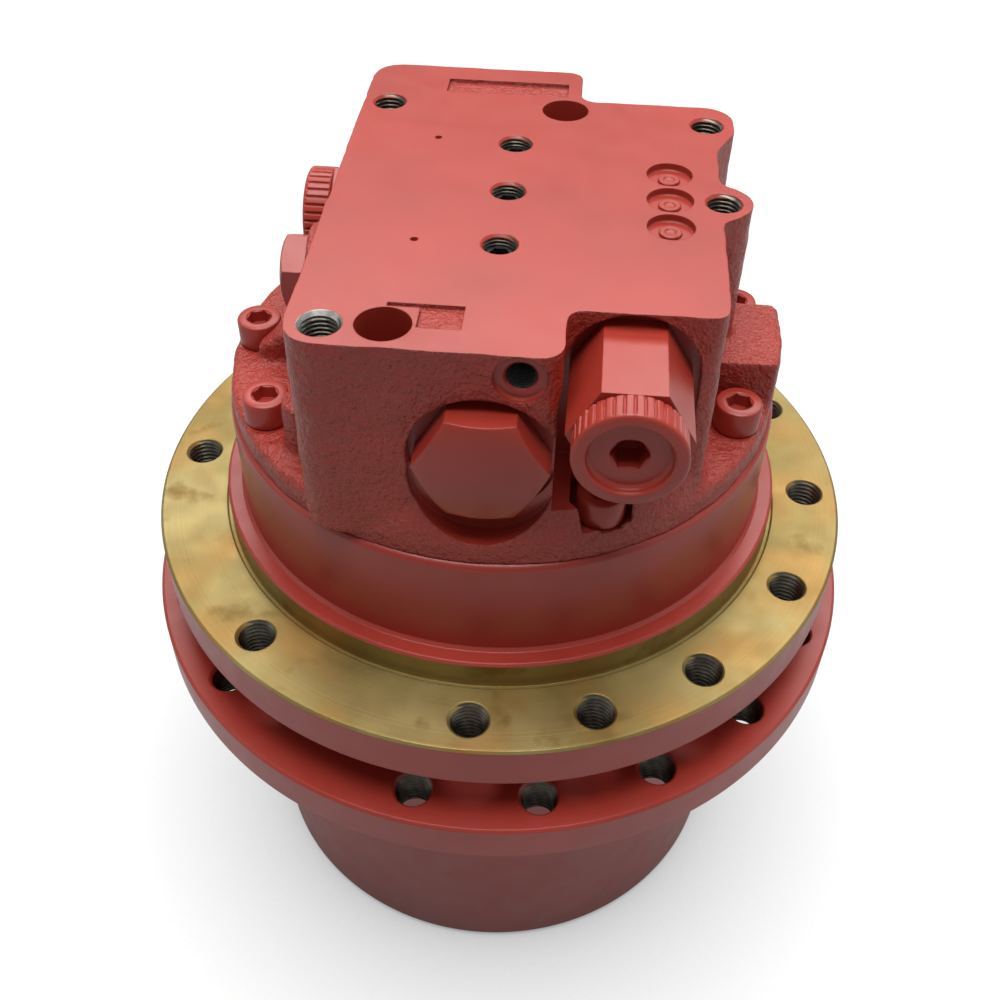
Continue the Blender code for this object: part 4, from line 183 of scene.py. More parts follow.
SIDE_PLUG_SEAT = mm(-65.5, -10, 288)
SIDE_PLUG_HEAD, SIDE_PLUG_SHANK, SIDE_PLUG_BORE = mm((24, 9), (9, 15), (9.3, -24.3))
SIDE_PLUG_FACE = 19.0 * MM

# Screws and the holes of the top
SCREW_CIRCLE, SCREW_SEAT, SCREW_HOLE, SCREW_HOLE_DEPTH = mm(90, 251.1, 5.3, 20)
SCREW_ANGLES = np.radians([-65.0, -21.5, 18.2, 60.0, 141.0, 181.2, 210.4])
SCREW = mm(
    (0, -32), (4.4, -32), (5, -31.4), (5, 0), (7.7, 0), (8, 0.3), (8, 9.1), (7.7, 9.7), (7.1, 10),
    (0, 10),
)
SCREW_SOCKET = mm(8, 5, 12)
SCREW_MOUTH = mm((0, 9.5), (4.3, 9.5), (5.3, 10.5), (0, 10.5))
SCREW_STEP_ANGLE = 0.7
SPINDLE_HOLE = mm((0, -25), (5.3, -25), (5.3, 2), (0, 2))
SCREW_FACE = mm(9.2, 30)
TOP_TAPS = mm((-47.2, 55), (-45.8, -83.6), (71.4, -4.7), (67.8, 48.9))
TOP_TAP = mm(5.1, 6)
TOP_TAP_DEPTH, TOP_MOUTH, RUBBED_MOUTH = mm(22, 6.3, 6.6)
DEEP_BORES = mm((17.1, 54.8), (-28, -82))
DEEP_BORE_RADIUS, DEEP_BORE_DEPTH = mm(8.3, 25)
GALLERIES = mm((1.1, 27.9), (1.1, -4.5), (1.1, -36.9))
GALLERY_TAP = mm(5, 5.75, 1.25, 13.8)
GALLERY_MOUTH, GALLERY_PLUG_DROP = mm(6.1, 3.5)
GALLERY_PLUG = mm((0, -10), (4.9, -10), (4.9, -0.6), (4.3, 0), (0, 0))
GALLERY_SOCKET = mm(6, -5)
EXPANDERS = mm((54, 12.1), (54, -4.6), (54, -21.3))
EXPANDER_SEAT = mm((0, -2.6), (3.9, -2.6), (7.3, -2.6), (7.7, -2.2), (7.7, 1), (0, 1))
EXPANDER = mm((0, -4), (3.7, -4), (3.7, -1.9), (3.4, -1.6), (2, -1.6), (1.5, -2.1), (0, -2.2))
PRICKS = mm((-26.1, 29.5), (-25.4, -37))
PRICK = mm((0, -3), (1.1, -2.2), (1.3, 1), (0, 1))
# Panels (x, y, width, depth)
PANELS = mm((-5, 71, 45, 10.5), (-12.2, -77.4, 12.8, 10.6), (-17, -72.2, 22.6, 1.9))
PANEL_DEPTH = 1.4 * MM

# Knurled caps
KNURL_RADIUS = 16.6 * MM
# A ridge's land and flank, as shares of half its pitch
KNURL_LAND = 0.62
KNURL_FLANK = 0.22
# Where the ridges start and end, each with the length over which they fade
KNURL_RUN = mm((0.5, 0.8), (8.9, 1))
KNURL_CAP = mm(
    (0, 0.3), (15.8, 0.3), (16.6, 0.8), (16.6, 1.3), (16.6, 2), (16.6, 3.18), (16.6, 4.36),
    (16.6, 5.54), (16.6, 6.72), (16.6, 7.9), (16.6, 8.9), (16.3, 9.4), (15.6, 9.8), (12.9, 9.8),
    (12.3, 9.2), (12.1, 7.8), (11.1, 6.8), (0, 6.8),
)
KNURL_STEM = mm(8.7, -9, 3)
KNURL_SOCKET = mm(10, -2.2, 9.8)
KNURL_MOUTH = mm((0, 6.2), (5.2, 6.2), (6.4, 7.4), (0, 7.4))

# Finishes of the outside, each named for what the real one is
ENAMEL, CAST, YELLOW = "oxide_red_enamel", "enamelled_cast_iron", "yellow_chromated_steel"
TAPPED, BRIGHT, BLACK, STEEL = "tapped_steel", "bright_steel", "nearly_black_steel", "ground_gear_steel"
# How the names of the nodes that keep the frame's own mesh start, by finish
INNER_FINISHES = {
    STEEL: (
        "first_stage", "second_stage", "motor_shaft", "swash_plate", "piston", "counterbalance_spool",
        "brake_piston",
    ),
    "polished_bearing_steel": ("lower_", "upper_"),
    BLACK: ("bearing_lock_nut", "hub_seal_ring", "spindle_seal_ring"),
    "port_plate_bronze": ("cylinder_block", "valve_plate"),
    "woven_brake_lining": ("brake_disc",),
}
# Bare metals: light and dark colour, roughness, the grain's size and its depth in millimetres
METALS = {
    # Tapped holes, cut with oil and never painted: dark grey steel whose thread crests catch light
    TAPPED: ("#6B665D", "#514C45", 0.3, 5.0, 0.01),
    # A mouth that a screw has rubbed clean of paint: bright turned steel
    BRIGHT: ("#C9C8C3", "#A5A39D", 0.25, 2.0, 0.01),
    # Manganese-phosphated steel: nearly black, dull and slightly crystalline. The pilot port's thread
    # takes the same nearly black finish
    BLACK: ("#4B4A49", "#2E2D2D", 0.5, 0.8, 0.02),
    # Case-hardened steel ground on the flanks: a cool, even grey
    STEEL: ("#A9AAAC", "#8D8E91", 0.26, 1.0, 0.01),
    # Through-hardened bearing steel, lapped: nearly a mirror
    "polished_bearing_steel": ("#CFD0D2", "#B4B5B8", 0.12, 2.0, 0.004),
    # Leaded bronze, bored and lapped: a warm, soft yellow
    "port_plate_bronze": ("#B98F55", "#9A7342", 0.32, 1.6, 0.01),
}

# Lamps: place, what they face, width and height, power
LAMPS = {
    "overhead": ((0.0, -0.1, 2.0), (0, 0, 0.25), (1.3, 1.3), 40.0),
    "window": ((0.1, 1.5, 1.9), (0, 0, 0.25), (2.8, 0.8), 31.0),
    "left": ((-1.5, -0.3, 0.9), (0, 0, 0.2), (1.2, 1.2), 2.4),
    "right": ((1.5, -0.2, 0.8), (0, 0, 0.2), (1.2, 1.2), 2.8),
}
# Floor: its grey, its white for the camera and that white's share for camera and glossy rays
FLOOR_RADIUS = 4.0
FLOOR_GREY = 0.33
FLOOR_WHITE = 1.2
FLOOR_SHARES = (0.88, 0.35)
# How far from the object the painted contact shadow darkens the floor's white
SHADOW_REACH = 0.12
# Surroundings: the level for every ray, and what glossy rays see more
SURROUND, SURROUND_GLOSSY = 0.15, 0.2

# Camera of the photograph
CAMERA_PLACE = mm(25.736, -350.456, 515.3)
CAMERA_TURN = np.radians([45.863, -0.7975, 4.9683])
CAMERA_LENS = 42.33


def linear(code):
    """sRGB hex code as linear red, green and blue."""
    value = np.array([int(code[at : at + 2], 16) for at in (1, 3, 5)]) / 255
    return tuple(np.where(value <= 0.04045, value / 12.92, ((value + 0.055) / 1.055) ** 2.4))


def per(millimetres):
    """Texture scale that repeats once in this many millimetres."""
    return 1 / (millimetres * MM)


# Surfaces


def along(place, direction):
    """Matrix that puts local Z on a direction from a place."""
    turn = Vector((0, 0, 1)).rotation_difference(Vector(direction)).to_matrix().to_4x4()
    return Matrix.Translation(place) @ turn


def placed(points, matrix):
    """Points (..., 3) carried by a matrix."""
    if matrix is None:
        return points
    m = np.array(matrix)
    return points @ m[:3, :3].T + m[:3, 3]


def polar(radius, angle):
    """Points (..., 2) at a radius and an angle."""
    return np.stack([radius * np.cos(angle), radius * np.sin(angle)], -1)


def turned(radius, height, angle):
    """Points (..., 3) at a radius and an angle round local Z, and at a height."""
    reach, height = np.broadcast_arrays(radius + 0 * angle, height)
    return np.concatenate([polar(reach, angle), height[..., None]], -1)


def sheet(points, matrix=None):
    """Quads of a surface given as rows of points round an axis: row i joins row i + 1, and the last
    column the first."""
    rows, columns = points.shape[:2]
    index = np.arange(rows * columns).reshape(rows, columns)
    index = np.hstack([index, index[:, :1]])
    quads = np.stack([index[:-1, :-1], index[:-1, 1:], index[1:, 1:], index[1:, :-1]], -1)
    return placed(points.reshape(-1, 3), matrix), quads.reshape(-1, 4).tolist()


def ends_of(count, sides):
    """Faces that close a sheet of so many points, whose rows have so many sides, at both ends."""
    return [list(range(sides))[::-1], list(range(count - sides, count))]


def lathe(profile, segments, matrix=None, wave=None):
    """Surface of revolution: (r, z) goes to (r cos a, r sin a, z), where wave(r, z, a) may change r."""
    profile = np.array(profile, float)
    angle = np.linspace(0, TURN, segments, endpoint=False) + 0 * profile[:, :1]
    radius, height = profile[:, :1], profile[:, 1:]
    if wave:
        radius = wave(radius, height, angle)
    return sheet(turned(radius, height, angle), matrix)


def ring(profile, segments, matrix=None):
    """Surface of revolution of a closed outline that doesn't reach the axis."""
    return lathe([*profile, profile[0]], segments, matrix)


def quarter(radius, height, fillet, side, count):
    """Profile points of a quarter circle that ends at a height, beside a wall of a radius: outwards
    from it where side is 1, inwards where it is -1."""
    angle = np.linspace(0, TURN / 4, count)
    return (radius, height) + fillet * np.column_stack([side * (1 - np.cos(angle)), np.sin(angle) - 1])


def prism(outline, low, high, matrix=None):
    """Outline (n, 2) carried from one height to another, with flat ends."""
    count = len(outline)
    rows = [np.column_stack([outline, np.full(count, z)]) for z in (low, high)]
    points, quads = sheet(np.stack(rows), matrix)
    return points, quads + ends_of(2 * count, count)


def circle(radius, segments):
    """Points (n, 2) of a circle."""
    return polar(radius, np.linspace(0, TURN, segments, endpoint=False))


def rod(radius, low, high, matrix=None, segments=64):
    """Cylinder with flat ends."""
    return prism(circle(radius, segments), low, high, matrix)


def hexagon(flats):
    """Points of a hexagon across flats, with a flat up."""
    return circle(flats / math.sqrt(3), 6)


def rectangle(x, y, width, depth):
    """Points of a rectangle round a middle."""
    return (x, y) + np.array([(-1, -1), (1, -1), (1, 1), (-1, 1)]) * (width / 2, depth / 2)


def rounded(corners, steps=10):
    """Outline whose corners (x, y, radius) are arcs that meet both their sides at a tangent."""
    here, radius = corners[:, 0] + 1j * corners[:, 1], corners[:, 2]
    before, after = (np.roll(here, shift) - here for shift in (1, -1))
    before, after = before / abs(before), after / abs(after)
    half = abs(np.angle(after / before)) / 2
    middle = here + (before + after) / abs(before + after) * radius / np.sin(half)
    start, end = (here + side * radius / np.tan(half) - middle for side in (before, after))
    turn = np.angle(end / start)[:, None] * np.linspace(0, 1, steps)
    points = (middle[:, None] + start[:, None] * np.exp(1j * turn)).ravel()
    return np.column_stack([points.real, points.imag])


def tapped(bore, major, pitch, depth, matrix, segments=48, rows=10):
    """Cutter of a tapped hole below local z = 0: r = bore + (major - bore) * tri(z / pitch - a / 360),
    where tri is a wave with flats a tenth of the pitch wide, over the cone that the drill left."""
    height = np.linspace(-depth, 0, int(depth / pitch * rows) + 1)
    height = np.concatenate([height, [OVERRUN / 4]])[:, None]
    angle = np.linspace(0, TURN, segments, endpoint=False) + 0 * height
    phase = (height / pitch - angle / TURN) % 1.0
    radius = bore + (major - bore) * np.clip(1.25 * (1 - np.abs(2 * phase - 1)) - 0.125, 0, 1)
    tip, top = (np.zeros((1, segments, 3)) + (0, 0, z) for z in (-depth - bore / 2, OVERRUN / 4))
    return sheet(np.concatenate([tip, turned(radius, height, angle), top]), matrix)


def mouth(radius, matrix, segments=64):
    """Cutter of a 90 degree countersink that is a radius wide at local z = 0."""
    cone = [(0, -radius), (radius, 0), (radius + OVERRUN, OVERRUN), (0, OVERRUN)]
    return lathe(cone, segments, matrix)


def hex_head(flats, low, high, matrix, segments=96, face=0.95):
    """Hexagon head: r = apothem / cos(a to the nearest flat), its face chamfered by the cone
    z = high - (r - face * apothem) * tan 30."""
    angle = np.linspace(0, TURN, segments, endpoint=False)
    flat, none = face * flats / 2, 0 * angle
    reach = flats / 2 / np.cos(angle % (TURN / 6) - TURN / 12)
    drop = high - (reach - flat) * math.tan(math.radians(30))
    radius = np.stack([none, none + flat, reach, reach, none])
    height = np.stack([none + high, none + high, drop, none + low, none + low])
    return sheet(turned(radius, height, none + angle), matrix)


def coil(radius, wire, turns, length, matrix, steps=40, sides=12):
    """Compression spring from local z = 0: the wire's centreline is (r cos a, r sin a, z(a)), where z
    rises by little more than the wire's thickness over the first and last turn and evenly between."""
    turn = np.linspace(0, turns, turns * steps + 1)[:, None]
    end = 3.1 * wire
    height = np.interp(turn, [0, 1, turns - 1, turns], [wire, end, length - end, length - wire])
    around = np.linspace(0, TURN, sides, endpoint=False) + 0 * turn
    points = turned(radius + wire * np.cos(around), height + wire * np.sin(around), turn * TURN)
    vertices, quads = sheet(points, matrix)
    return vertices, quads + ends_of(len(vertices), sides)


def ring_gear(low, high):
    """Cutter of the ring gear's bore: sixty gaps whose flanks follow the involute in five steps."""
    pitch = GEAR_MODULE * RING_TEETH / 2
    radius = np.linspace(pitch - GEAR_MODULE, pitch + GEAR_DEDENDUM * GEAR_MODULE, 5)
    lean = np.arccos(np.minimum(1, pitch * math.cos(GEAR_PRESSURE) / radius))
    half = TURN / 4 / RING_TEETH + (math.tan(GEAR_PRESSURE) - GEAR_PRESSURE)
    half = half - (np.tan(lean) - lean) + RING_BACKLASH / radius
    angle = np.concatenate([-half, half[::-1]])
    turn = np.arange(RING_TEETH)[:, None] * TURN / RING_TEETH
    return prism(polar(np.concatenate([radius, radius[::-1]]), turn + angle).reshape(-1, 2), low, high)


# Objects


def mesh_of(name, parts, material=None):
    """One mesh of several surfaces, welded and facing outwards."""
    points, faces, start = [], [], 0
    for vertices, polygons in parts:
        points.append(vertices)
        faces += [[start + corner for corner in polygon] for polygon in polygons]
        start += len(vertices)
    data = bpy.data.meshes.new(name)
    data.from_pydata(np.concatenate(points).tolist(), [], faces)
    work = bmesh.new()
    work.from_mesh(data)
    bmesh.ops.remove_doubles(work, verts=work.verts, dist=0.001 * MM)
    bmesh.ops.dissolve_degenerate(work, edges=work.edges, dist=0.001 * MM)
    bmesh.ops.recalc_face_normals(work, faces=work.faces)
    work.to_mesh(data)
    work.free()
    if material:
        data.materials.append(finish(material))
    return data


def shown(name, data):
    """Object of a mesh, a lamp or a camera, linked to the scene."""
    made = bpy.data.objects.new(name, data)
    bpy.context.scene.collection.objects.link(made)
    return made


def smooth(name, data, sharp):
    """Object of a mesh, smooth but where it bends by more than so many degrees."""
    data.shade_smooth()
    data.set_sharp_from_angle(angle=math.radians(sharp))
    return shown(name, data)


def helper(name, parts, material):
    """Object used as a cutter or an addition, left out of the model once it has been used."""
    made = shown(name, mesh_of(name, parts, material))
    made.hide_render = True
    return made


def cut(material, *parts):
    """Step that takes parts away and leaves a finish there, the solid's own if it is None."""
    return "DIFFERENCE", parts, material


def join(material, *parts):
    """Step that adds parts with a finish, the solid's own if it is None."""
    return "UNION", parts, material


def socket(flats, low, high, matrix):
    """Step that sinks a hexagon socket, as wide across flats as the key."""
    return cut(None, prism(hexagon(flats), low, high, matrix))


def shaped(name, parts, material, steps, cast):
    """Mesh of a solid after its steps. A cast is first remeshed in cells of its size, relaxed into
    fillets and roughened by the mould's sand."""
    made = helper(name, parts, material)
    if cast:
        remesh = made.modifiers.new("skin", "REMESH")
        remesh.mode = "VOXEL"
        remesh.voxel_size = cast
        relax = made.modifiers.new("fillets", "SMOOTH")
        relax.factor = 0.5
        relax.iterations = FILLET_STEPS
        for index, (size, depth) in enumerate(SAND_LUMPS):
            sand = bpy.data.textures.new(f"sand_{index}", "CLOUDS")
            sand.noise_scale = size
            sand.noise_depth = 1
            lumps = made.modifiers.new(f"sand_{index}", "DISPLACE")
            lumps.texture = sand
            lumps.texture_coords = "LOCAL"
            lumps.strength = depth
    used = [made]
    for index, (operation, shape, left) in enumerate(steps):
        tool = helper(f"{name}_{index}", shape, left or material)
        used.append(tool)
        boolean = made.modifiers.new(f"step_{index}", "BOOLEAN")
        boolean.operation = operation
        boolean.object = tool
        boolean.solver = "MANIFOLD"
        boolean.material_mode = "TRANSFER"
    graph = bpy.context.evaluated_depsgraph_get()
    data = bpy.data.meshes.new_from_object(made.evaluated_get(graph), depsgraph=graph)
    for old in used:
        bpy.data.objects.remove(old)
    if not data.polygons:
        raise RuntimeError(f"{name} has no faces left")
    return data


def piece(
    name, node, parts, steps=(), material=ENAMEL, body="frame_side", slot="red_casting", cast=None,
    sharp=32.0,
):
    """Finished object that stands for a CAD node and rides on a body, smooth but where it bends by more
    than so many degrees."""
    data = shaped(name, parts, material, steps, cast) if steps else mesh_of(name, parts, material)
    data.name = name
    made = smooth(name, data, sharp)
    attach(made, body)
    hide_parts(node)
    return made


# Finishes


def add(tree, kind, values):
    """Node of a kind. Each value is a setting of its own, or goes to the socket of that name or number,
    by a link where it comes from another node."""
    made = tree.nodes.new(kind)
    for key, value in values.items():
        if isinstance(key, str) and hasattr(made, key):
            setattr(made, key, value)
        elif isinstance(value, bpy.types.NodeSocket):
            tree.links.new(value, made.inputs[key])
        else:
            made.inputs[key].default_value = value
    return made


def blank(name):
    """New material: its node tree, its shader and the Object coordinates that its patterns follow."""
    made = bpy.data.materials.new(name)
    made.use_nodes = True
    tree = made.node_tree
    where = add(tree, "ShaderNodeTexCoord", {}).outputs["Object"]
    return made, tree, tree.nodes["Principled BSDF"], where


def tinted(colour, share):
    """Colour, linear and with alpha, made lighter or darker by a share."""
    return (*(min(1.0, channel * share) for channel in colour[:3]), 1.0)


def cloud(tree, where, size, detail, limits, levels=(0.0, 1.0)):
    """Value that drifts between two levels in soft patches of a size in millimetres. The limits are the
    heights of the noise at which it reaches them."""
    noise = add(tree, "ShaderNodeTexNoise", {"Scale": per(size), "Detail": detail, "Vector": where})
    names = ("From Min", "From Max", "To Min", "To Max", "Value")
    values = dict(zip(names, (*limits, *levels, noise.outputs["Fac"])))
    return add(tree, "ShaderNodeMapRange", values).outputs["Result"]


def patches(tree, where, size, first, second, limits=(0.35, 0.65), detail=3.0):
    """Colour that drifts between two in soft patches of a size in millimetres."""
    share = cloud(tree, where, size, detail, limits)
    return add(tree, "ShaderNodeMix", {"data_type": "RGBA", 0: share, 6: first, 7: second}).outputs[2]


def uneven_gloss(tree, where, size, gloss, spread):
    """Roughness that drifts from gloss up by a spread, in soft patches of a size in millimetres."""
    return cloud(tree, where, size, 4.0, (0.3, 0.7), (gloss, gloss + spread))


def relief(tree, where, edge, *layers):
    """Normal with hard edges rounded over a radius in millimetres, as a coat of paint does, and then
    layers of height, each (pattern, depth in millimetres). A pattern is another node's socket, or the
    size in millimetres of a random grain."""
    normal = add(tree, "ShaderNodeBevel", {"samples": 4, "Radius": edge * MM}).outputs["Normal"]
    for pattern, depth in layers:
        if not isinstance(pattern, bpy.types.NodeSocket):
            values = {"Scale": per(pattern), "Detail": 3.0, "Vector": where}
            pattern = add(tree, "ShaderNodeTexNoise", values).outputs["Fac"]
        values = {"Distance": depth * MM, "Height": pattern, "Normal": normal}
        normal = add(tree, "ShaderNodeBump", values).outputs["Normal"]
    return normal


def wire(tree, shader, **sockets):
    """Links from patterns to the shader's own sockets."""
    for name, source in sockets.items():
        tree.links.new(source, shader.inputs[name.replace("_", " ")])


def make_enamel(name, colour, gloss, cast):
    """Oxide-red synthetic enamel, sprayed in one thick coat over bare steel or iron and air dried.
    It gives the eye an even brick red, a soft sheen that turns pink towards the light, and edges that
    the paint has rounded. Machined steel under it shows as faint orange peel. Cast iron under it shows
    the grain of the sand mould, whose lumps glint."""
    made, tree, shader, where = blank(name)
    dusty = patches(tree, where, 46.0, tinted(colour, 0.93), tinted(colour, 1.08))
    speck = patches(tree, where, 1.4, (0.86, 0.84, 0.84, 1), (1, 1, 1, 1), (0.32, 0.44))
    share = 0.5 if cast else 0.15
    values = {"data_type": "RGBA", "blend_type": "MULTIPLY", 0: share, 6: dusty, 7: speck}
    base = add(tree, "ShaderNodeMix", values).outputs[2]
    if cast:
        # Moulding sand leaves lumps of about 0.6 mm, drawn at 1.1 mm so that they show
        normal = relief(tree, where, 1.2, (8.0, 0.9), (2.6, 1.1), (1.1, 0.8))
    else:
        normal = relief(tree, where, 0.6, (16.0, 0.04), (1.7, 0.012))
    sheen = uneven_gloss(tree, where, 11.0, gloss, 0.08)
    wire(tree, shader, Base_Color=base, Roughness=sheen, Normal=normal)
    shader.inputs["IOR"].default_value = 1.5
    return made


def make_gold_face(name):
    """Zinc-plated steel with a yellow chromate, face-turned first and oiled since. It gives the eye a
    pale brass that is straw towards the light and olive in shade, with brown stains where the oil has
    dried, and the fine rings that the lathe's tool left."""
    made, tree, shader, where = blank(name)
    apart = add(tree, "ShaderNodeSeparateXYZ", {"Vector": where})
    flat = add(tree, "ShaderNodeCombineXYZ", {"X": apart.outputs["X"], "Y": apart.outputs["Y"]})
    values = {"operation": "LENGTH", 0: flat.outputs[0]}
    radius = add(tree, "ShaderNodeVectorMath", values).outputs["Value"]
    # The tool's feed is about 0.25 mm a turn, drawn at 0.8 mm so that it shows
    values = {"noise_dimensions": "1D", "Scale": per(0.8), "Detail": 2.0, "W": radius}
    rings = add(tree, "ShaderNodeTexNoise", values)
    codes = ("#85703D", "#A3915F", "#A07E48", "#78602F")
    olive, straw, copper, brown = [(*linear(code), 1) for code in codes]
    brass = patches(tree, where, 60.0, olive, straw, (0.34, 0.62), 5.0)
    rosy = patches(tree, where, 30.0, copper, brass, (0.34, 0.52), 5.0)
    stained = patches(tree, where, 19.0, brown, rosy, (0.26, 0.4), 8.0)
    values = {"To Min": 0.84, "To Max": 1.0, "Value": rings.outputs["Fac"]}
    ringed = add(tree, "ShaderNodeMapRange", values).outputs["Result"]
    values = {"data_type": "RGBA", "blend_type": "MULTIPLY", 0: 1.0, 6: stained, 7: ringed}
    base = add(tree, "ShaderNodeMix", values).outputs[2]
    normal = relief(tree, where, 0.5, (rings.outputs["Fac"], 0.02), (5.0, 0.03))
    sheen = uneven_gloss(tree, where, 12.0, 0.38, 0.16)
    wire(tree, shader, Base_Color=base, Roughness=sheen, Normal=normal)
    shader.inputs["Metallic"].default_value = 0.8
    return made


def make_metal(name, light, dark, gloss, size, depth):
    """Bare metal with a fine, nearly even grain of a size in millimetres: ground, turned, phosphated or
    cast. It gives the eye a soft sheen whose strength wanders a little."""
    made, tree, shader, where = blank(name)
    base = patches(tree, where, size, (*linear(dark), 1), (*linear(light), 1), (0.3, 0.7), 4.0)
    normal = relief(tree, where, 0.2, (size, depth))
    sheen = uneven_gloss(tree, where, 3 * size, gloss, 0.1)
    wire(tree, shader, Base_Color=base, Roughness=sheen, Normal=normal)
    shader.inputs["Metallic"].default_value = 1.0
    return made


def make_brake_lining(name):
    """Moulded friction lining woven of brass wire and yarn in brown resin. It gives the eye a dull
    brown cloth whose threads cross at 2 mm, with nothing that shines."""
    made, tree, shader, where = blank(name)
    # Blender's bands repeat every 2 pi / 20 of a unit at scale 1
    scale = per(2.0) * math.tau / 20
    values = {"Scale": scale, "bands_direction": "X", "Vector": where}
    warp = add(tree, "ShaderNodeTexWave", values).outputs["Fac"]
    weft = add(tree, "ShaderNodeTexWave", {**values, "bands_direction": "Y"}).outputs["Fac"]
    weave = add(tree, "ShaderNodeMath", {"operation": "MULTIPLY", 0: warp, 1: weft}).outputs[0]
    values = {"data_type": "RGBA", 0: weave, 6: (*linear("#3E3226"), 1), 7: (*linear("#7A6140"), 1)}
    base = add(tree, "ShaderNodeMix", values).outputs[2]
    wire(tree, shader, Base_Color=base, Normal=relief(tree, where, 0.2, (weave, 0.2)))
    shader.inputs["Roughness"].default_value = 0.85
    return made


class FinalDriveFinishes(bpy.types.PropertyGroup):
    """Colours and gloss of the finishes"""

    enamel: FloatVectorProperty(
        name="Enamel", description="Oxide-red enamel", subtype="COLOR", size=3,
        default=linear("#9E3327"),
    )
    enamel_gloss: FloatProperty(
        name="Enamel Roughness", description="Roughness of the enamel on machined steel", default=0.3,
        min=0.05, max=1.0,
    )
    cast_gloss: FloatProperty(
        name="Cast Roughness", description="Roughness of the enamel on cast iron", default=0.3,
        min=0.05, max=1.0,
    )


class FinalDriveSizes(bpy.types.PropertyGroup):
    """Sizes of the details that the frame doesn't hold"""

    segments: IntProperty(
        name="Segments", description="Steps round a large circle", default=192, min=48, max=384
    )
    grain: FloatProperty(
        name="Casting Step", description="Size of the casting's surface cells", default=1.35 * MM,
        unit="LENGTH",
    )
    knurls: IntProperty(
        name="Knurls", description="Ridges round a port cap", default=36, min=12, max=60
    )
    knurl_depth: FloatProperty(
        name="Knurl Depth", description="Depth between the ridges", default=0.75 * MM, unit="LENGTH"
    )
    flange_pitch: FloatProperty(
        name="Flange Thread Pitch", description="Pitch of the flanges' tapped holes", default=2.0 * MM,
        unit="LENGTH",
    )
    top_pitch: FloatProperty(
        name="Top Thread Pitch", description="Pitch of the valve block's tapped holes",
        default=1.5 * MM, unit="LENGTH",
    )


def finish(name):
    """Material by name, made when it is first asked for."""
    made = bpy.data.materials.get(name)
    if made:
        return made
    if name in METALS:
        return make_metal(name, *METALS[name])
    chosen = bpy.context.scene.final_drive_finishes
    makers = {
        ENAMEL: lambda: make_enamel(name, chosen.enamel, chosen.enamel_gloss, False),
        CAST: lambda: make_enamel(name, chosen.enamel, chosen.cast_gloss, True),
        YELLOW: lambda: make_gold_face(name),
        "woven_brake_lining": lambda: make_brake_lining(name),
    }
    return makers[name]()


# Pieces


def upright(points, height=BLOCK_TOP):
    """Upright matrices at points (x, y), on the valve block's top unless a height is given."""
    return [Matrix.Translation((*point, height)) for point in points]


def each(matrices, make, *sizes):
    """Surfaces of a kind and size, one for each matrix."""
    return [make(*sizes, matrix) for matrix in matrices]


def screw_places():
    """(x, y) of the valve block's screws, the last one down the deep bore in front."""
    return np.vstack([polar(SCREW_CIRCLE, SCREW_ANGLES), DEEP_BORES[1:]])


class DRIVE_OT_hub(bpy.types.Operator):
    """Turned hub with its sprocket flange, sixteen tapped holes and ring gear"""

    bl_idname = "final_drive.hub"
    bl_label = "Hub"

    def execute(self, context):
        sizes = context.scene.final_drive_sizes
        fillet = quarter(HUB_RADIUS, SPROCKET_LOW, HUB_FILLET, 1, 7)
        profile = [*HUB_FOOT, *fillet, *HUB_OUTSIDE, *HUB_BORE]
        places = np.setdiff1d(np.arange(SPROCKET_PLACES), SPROCKET_LEFT_OUT)
        angles = SPROCKET_START + places * TURN / SPROCKET_PLACES
        up = upright(polar(SPROCKET_CIRCLE, angles), SPROCKET_TOP)
        depth = SPROCKET_TOP - SPROCKET_LOW + OVERRUN
        taps = each(up, tapped, *FLANGE_TAP, sizes.flange_pitch, depth)
        steps = [
            cut(STEEL, ring_gear(COVER_THICKNESS - OVERRUN, RING_TOP)),
            cut(TAPPED, *taps),
            cut(None, *each(up, mouth, FLANGE_MOUTH)),
        ]
        shell = [ring(profile, sizes.segments)]
        piece("hub_shell", "hub", shell, steps, body="hub_side", slot="red_paint")
        return {"FINISHED"}


class DRIVE_OT_cover(bpy.types.Operator):
    """Gearbox cover, its retaining ring and its two oil plugs"""

    bl_idname = "final_drive.cover"
    bl_label = "Gearbox Cover"

    def execute(self, context):
        segments = context.scene.final_drive_sizes.segments
        down = [along((0, side * PLUG_OFFSET, 0), (0, 0, -1)) for side in (1, -1)]
        seats = each(down, lathe, PLUG_SEAT, 48)
        plate, steps = [lathe(COVER, segments)], [cut(None, *seats)]
        piece("cover_plate", "gearbox_cover", plate, steps, body="hub_side", slot="red_paint")
        looks = (BLACK, "hub_side", "dark_steel")
        for index, matrix in enumerate(down, 1):
            plug, steps = [lathe(PLUG, 48, matrix)], [socket(*PLUG_SOCKET, OVERRUN, matrix)]
            piece(f"oil_screw_{index}", f"oil_plug_{index}", plug, steps, *looks)
        self.clip(segments)
        return {"FINISHED"}

    def clip(self, segments):
        """Retaining ring: a band open over 14 degrees."""
        angle = np.linspace(CLIP_OPENING / 2, TURN - CLIP_OPENING / 2, segments)[:, None]
        radius, height = CLIP_SECTION.T
        vertices, quads = sheet(turned(radius, height + 0 * angle, angle + 0 * radius))
        band = [(vertices, quads + ends_of(len(vertices), len(radius)))]
        looks = (BLACK, "hub_side", "dark_steel")
        piece("spring_steel_clip", "cover_retaining_ring", band, (), *looks)


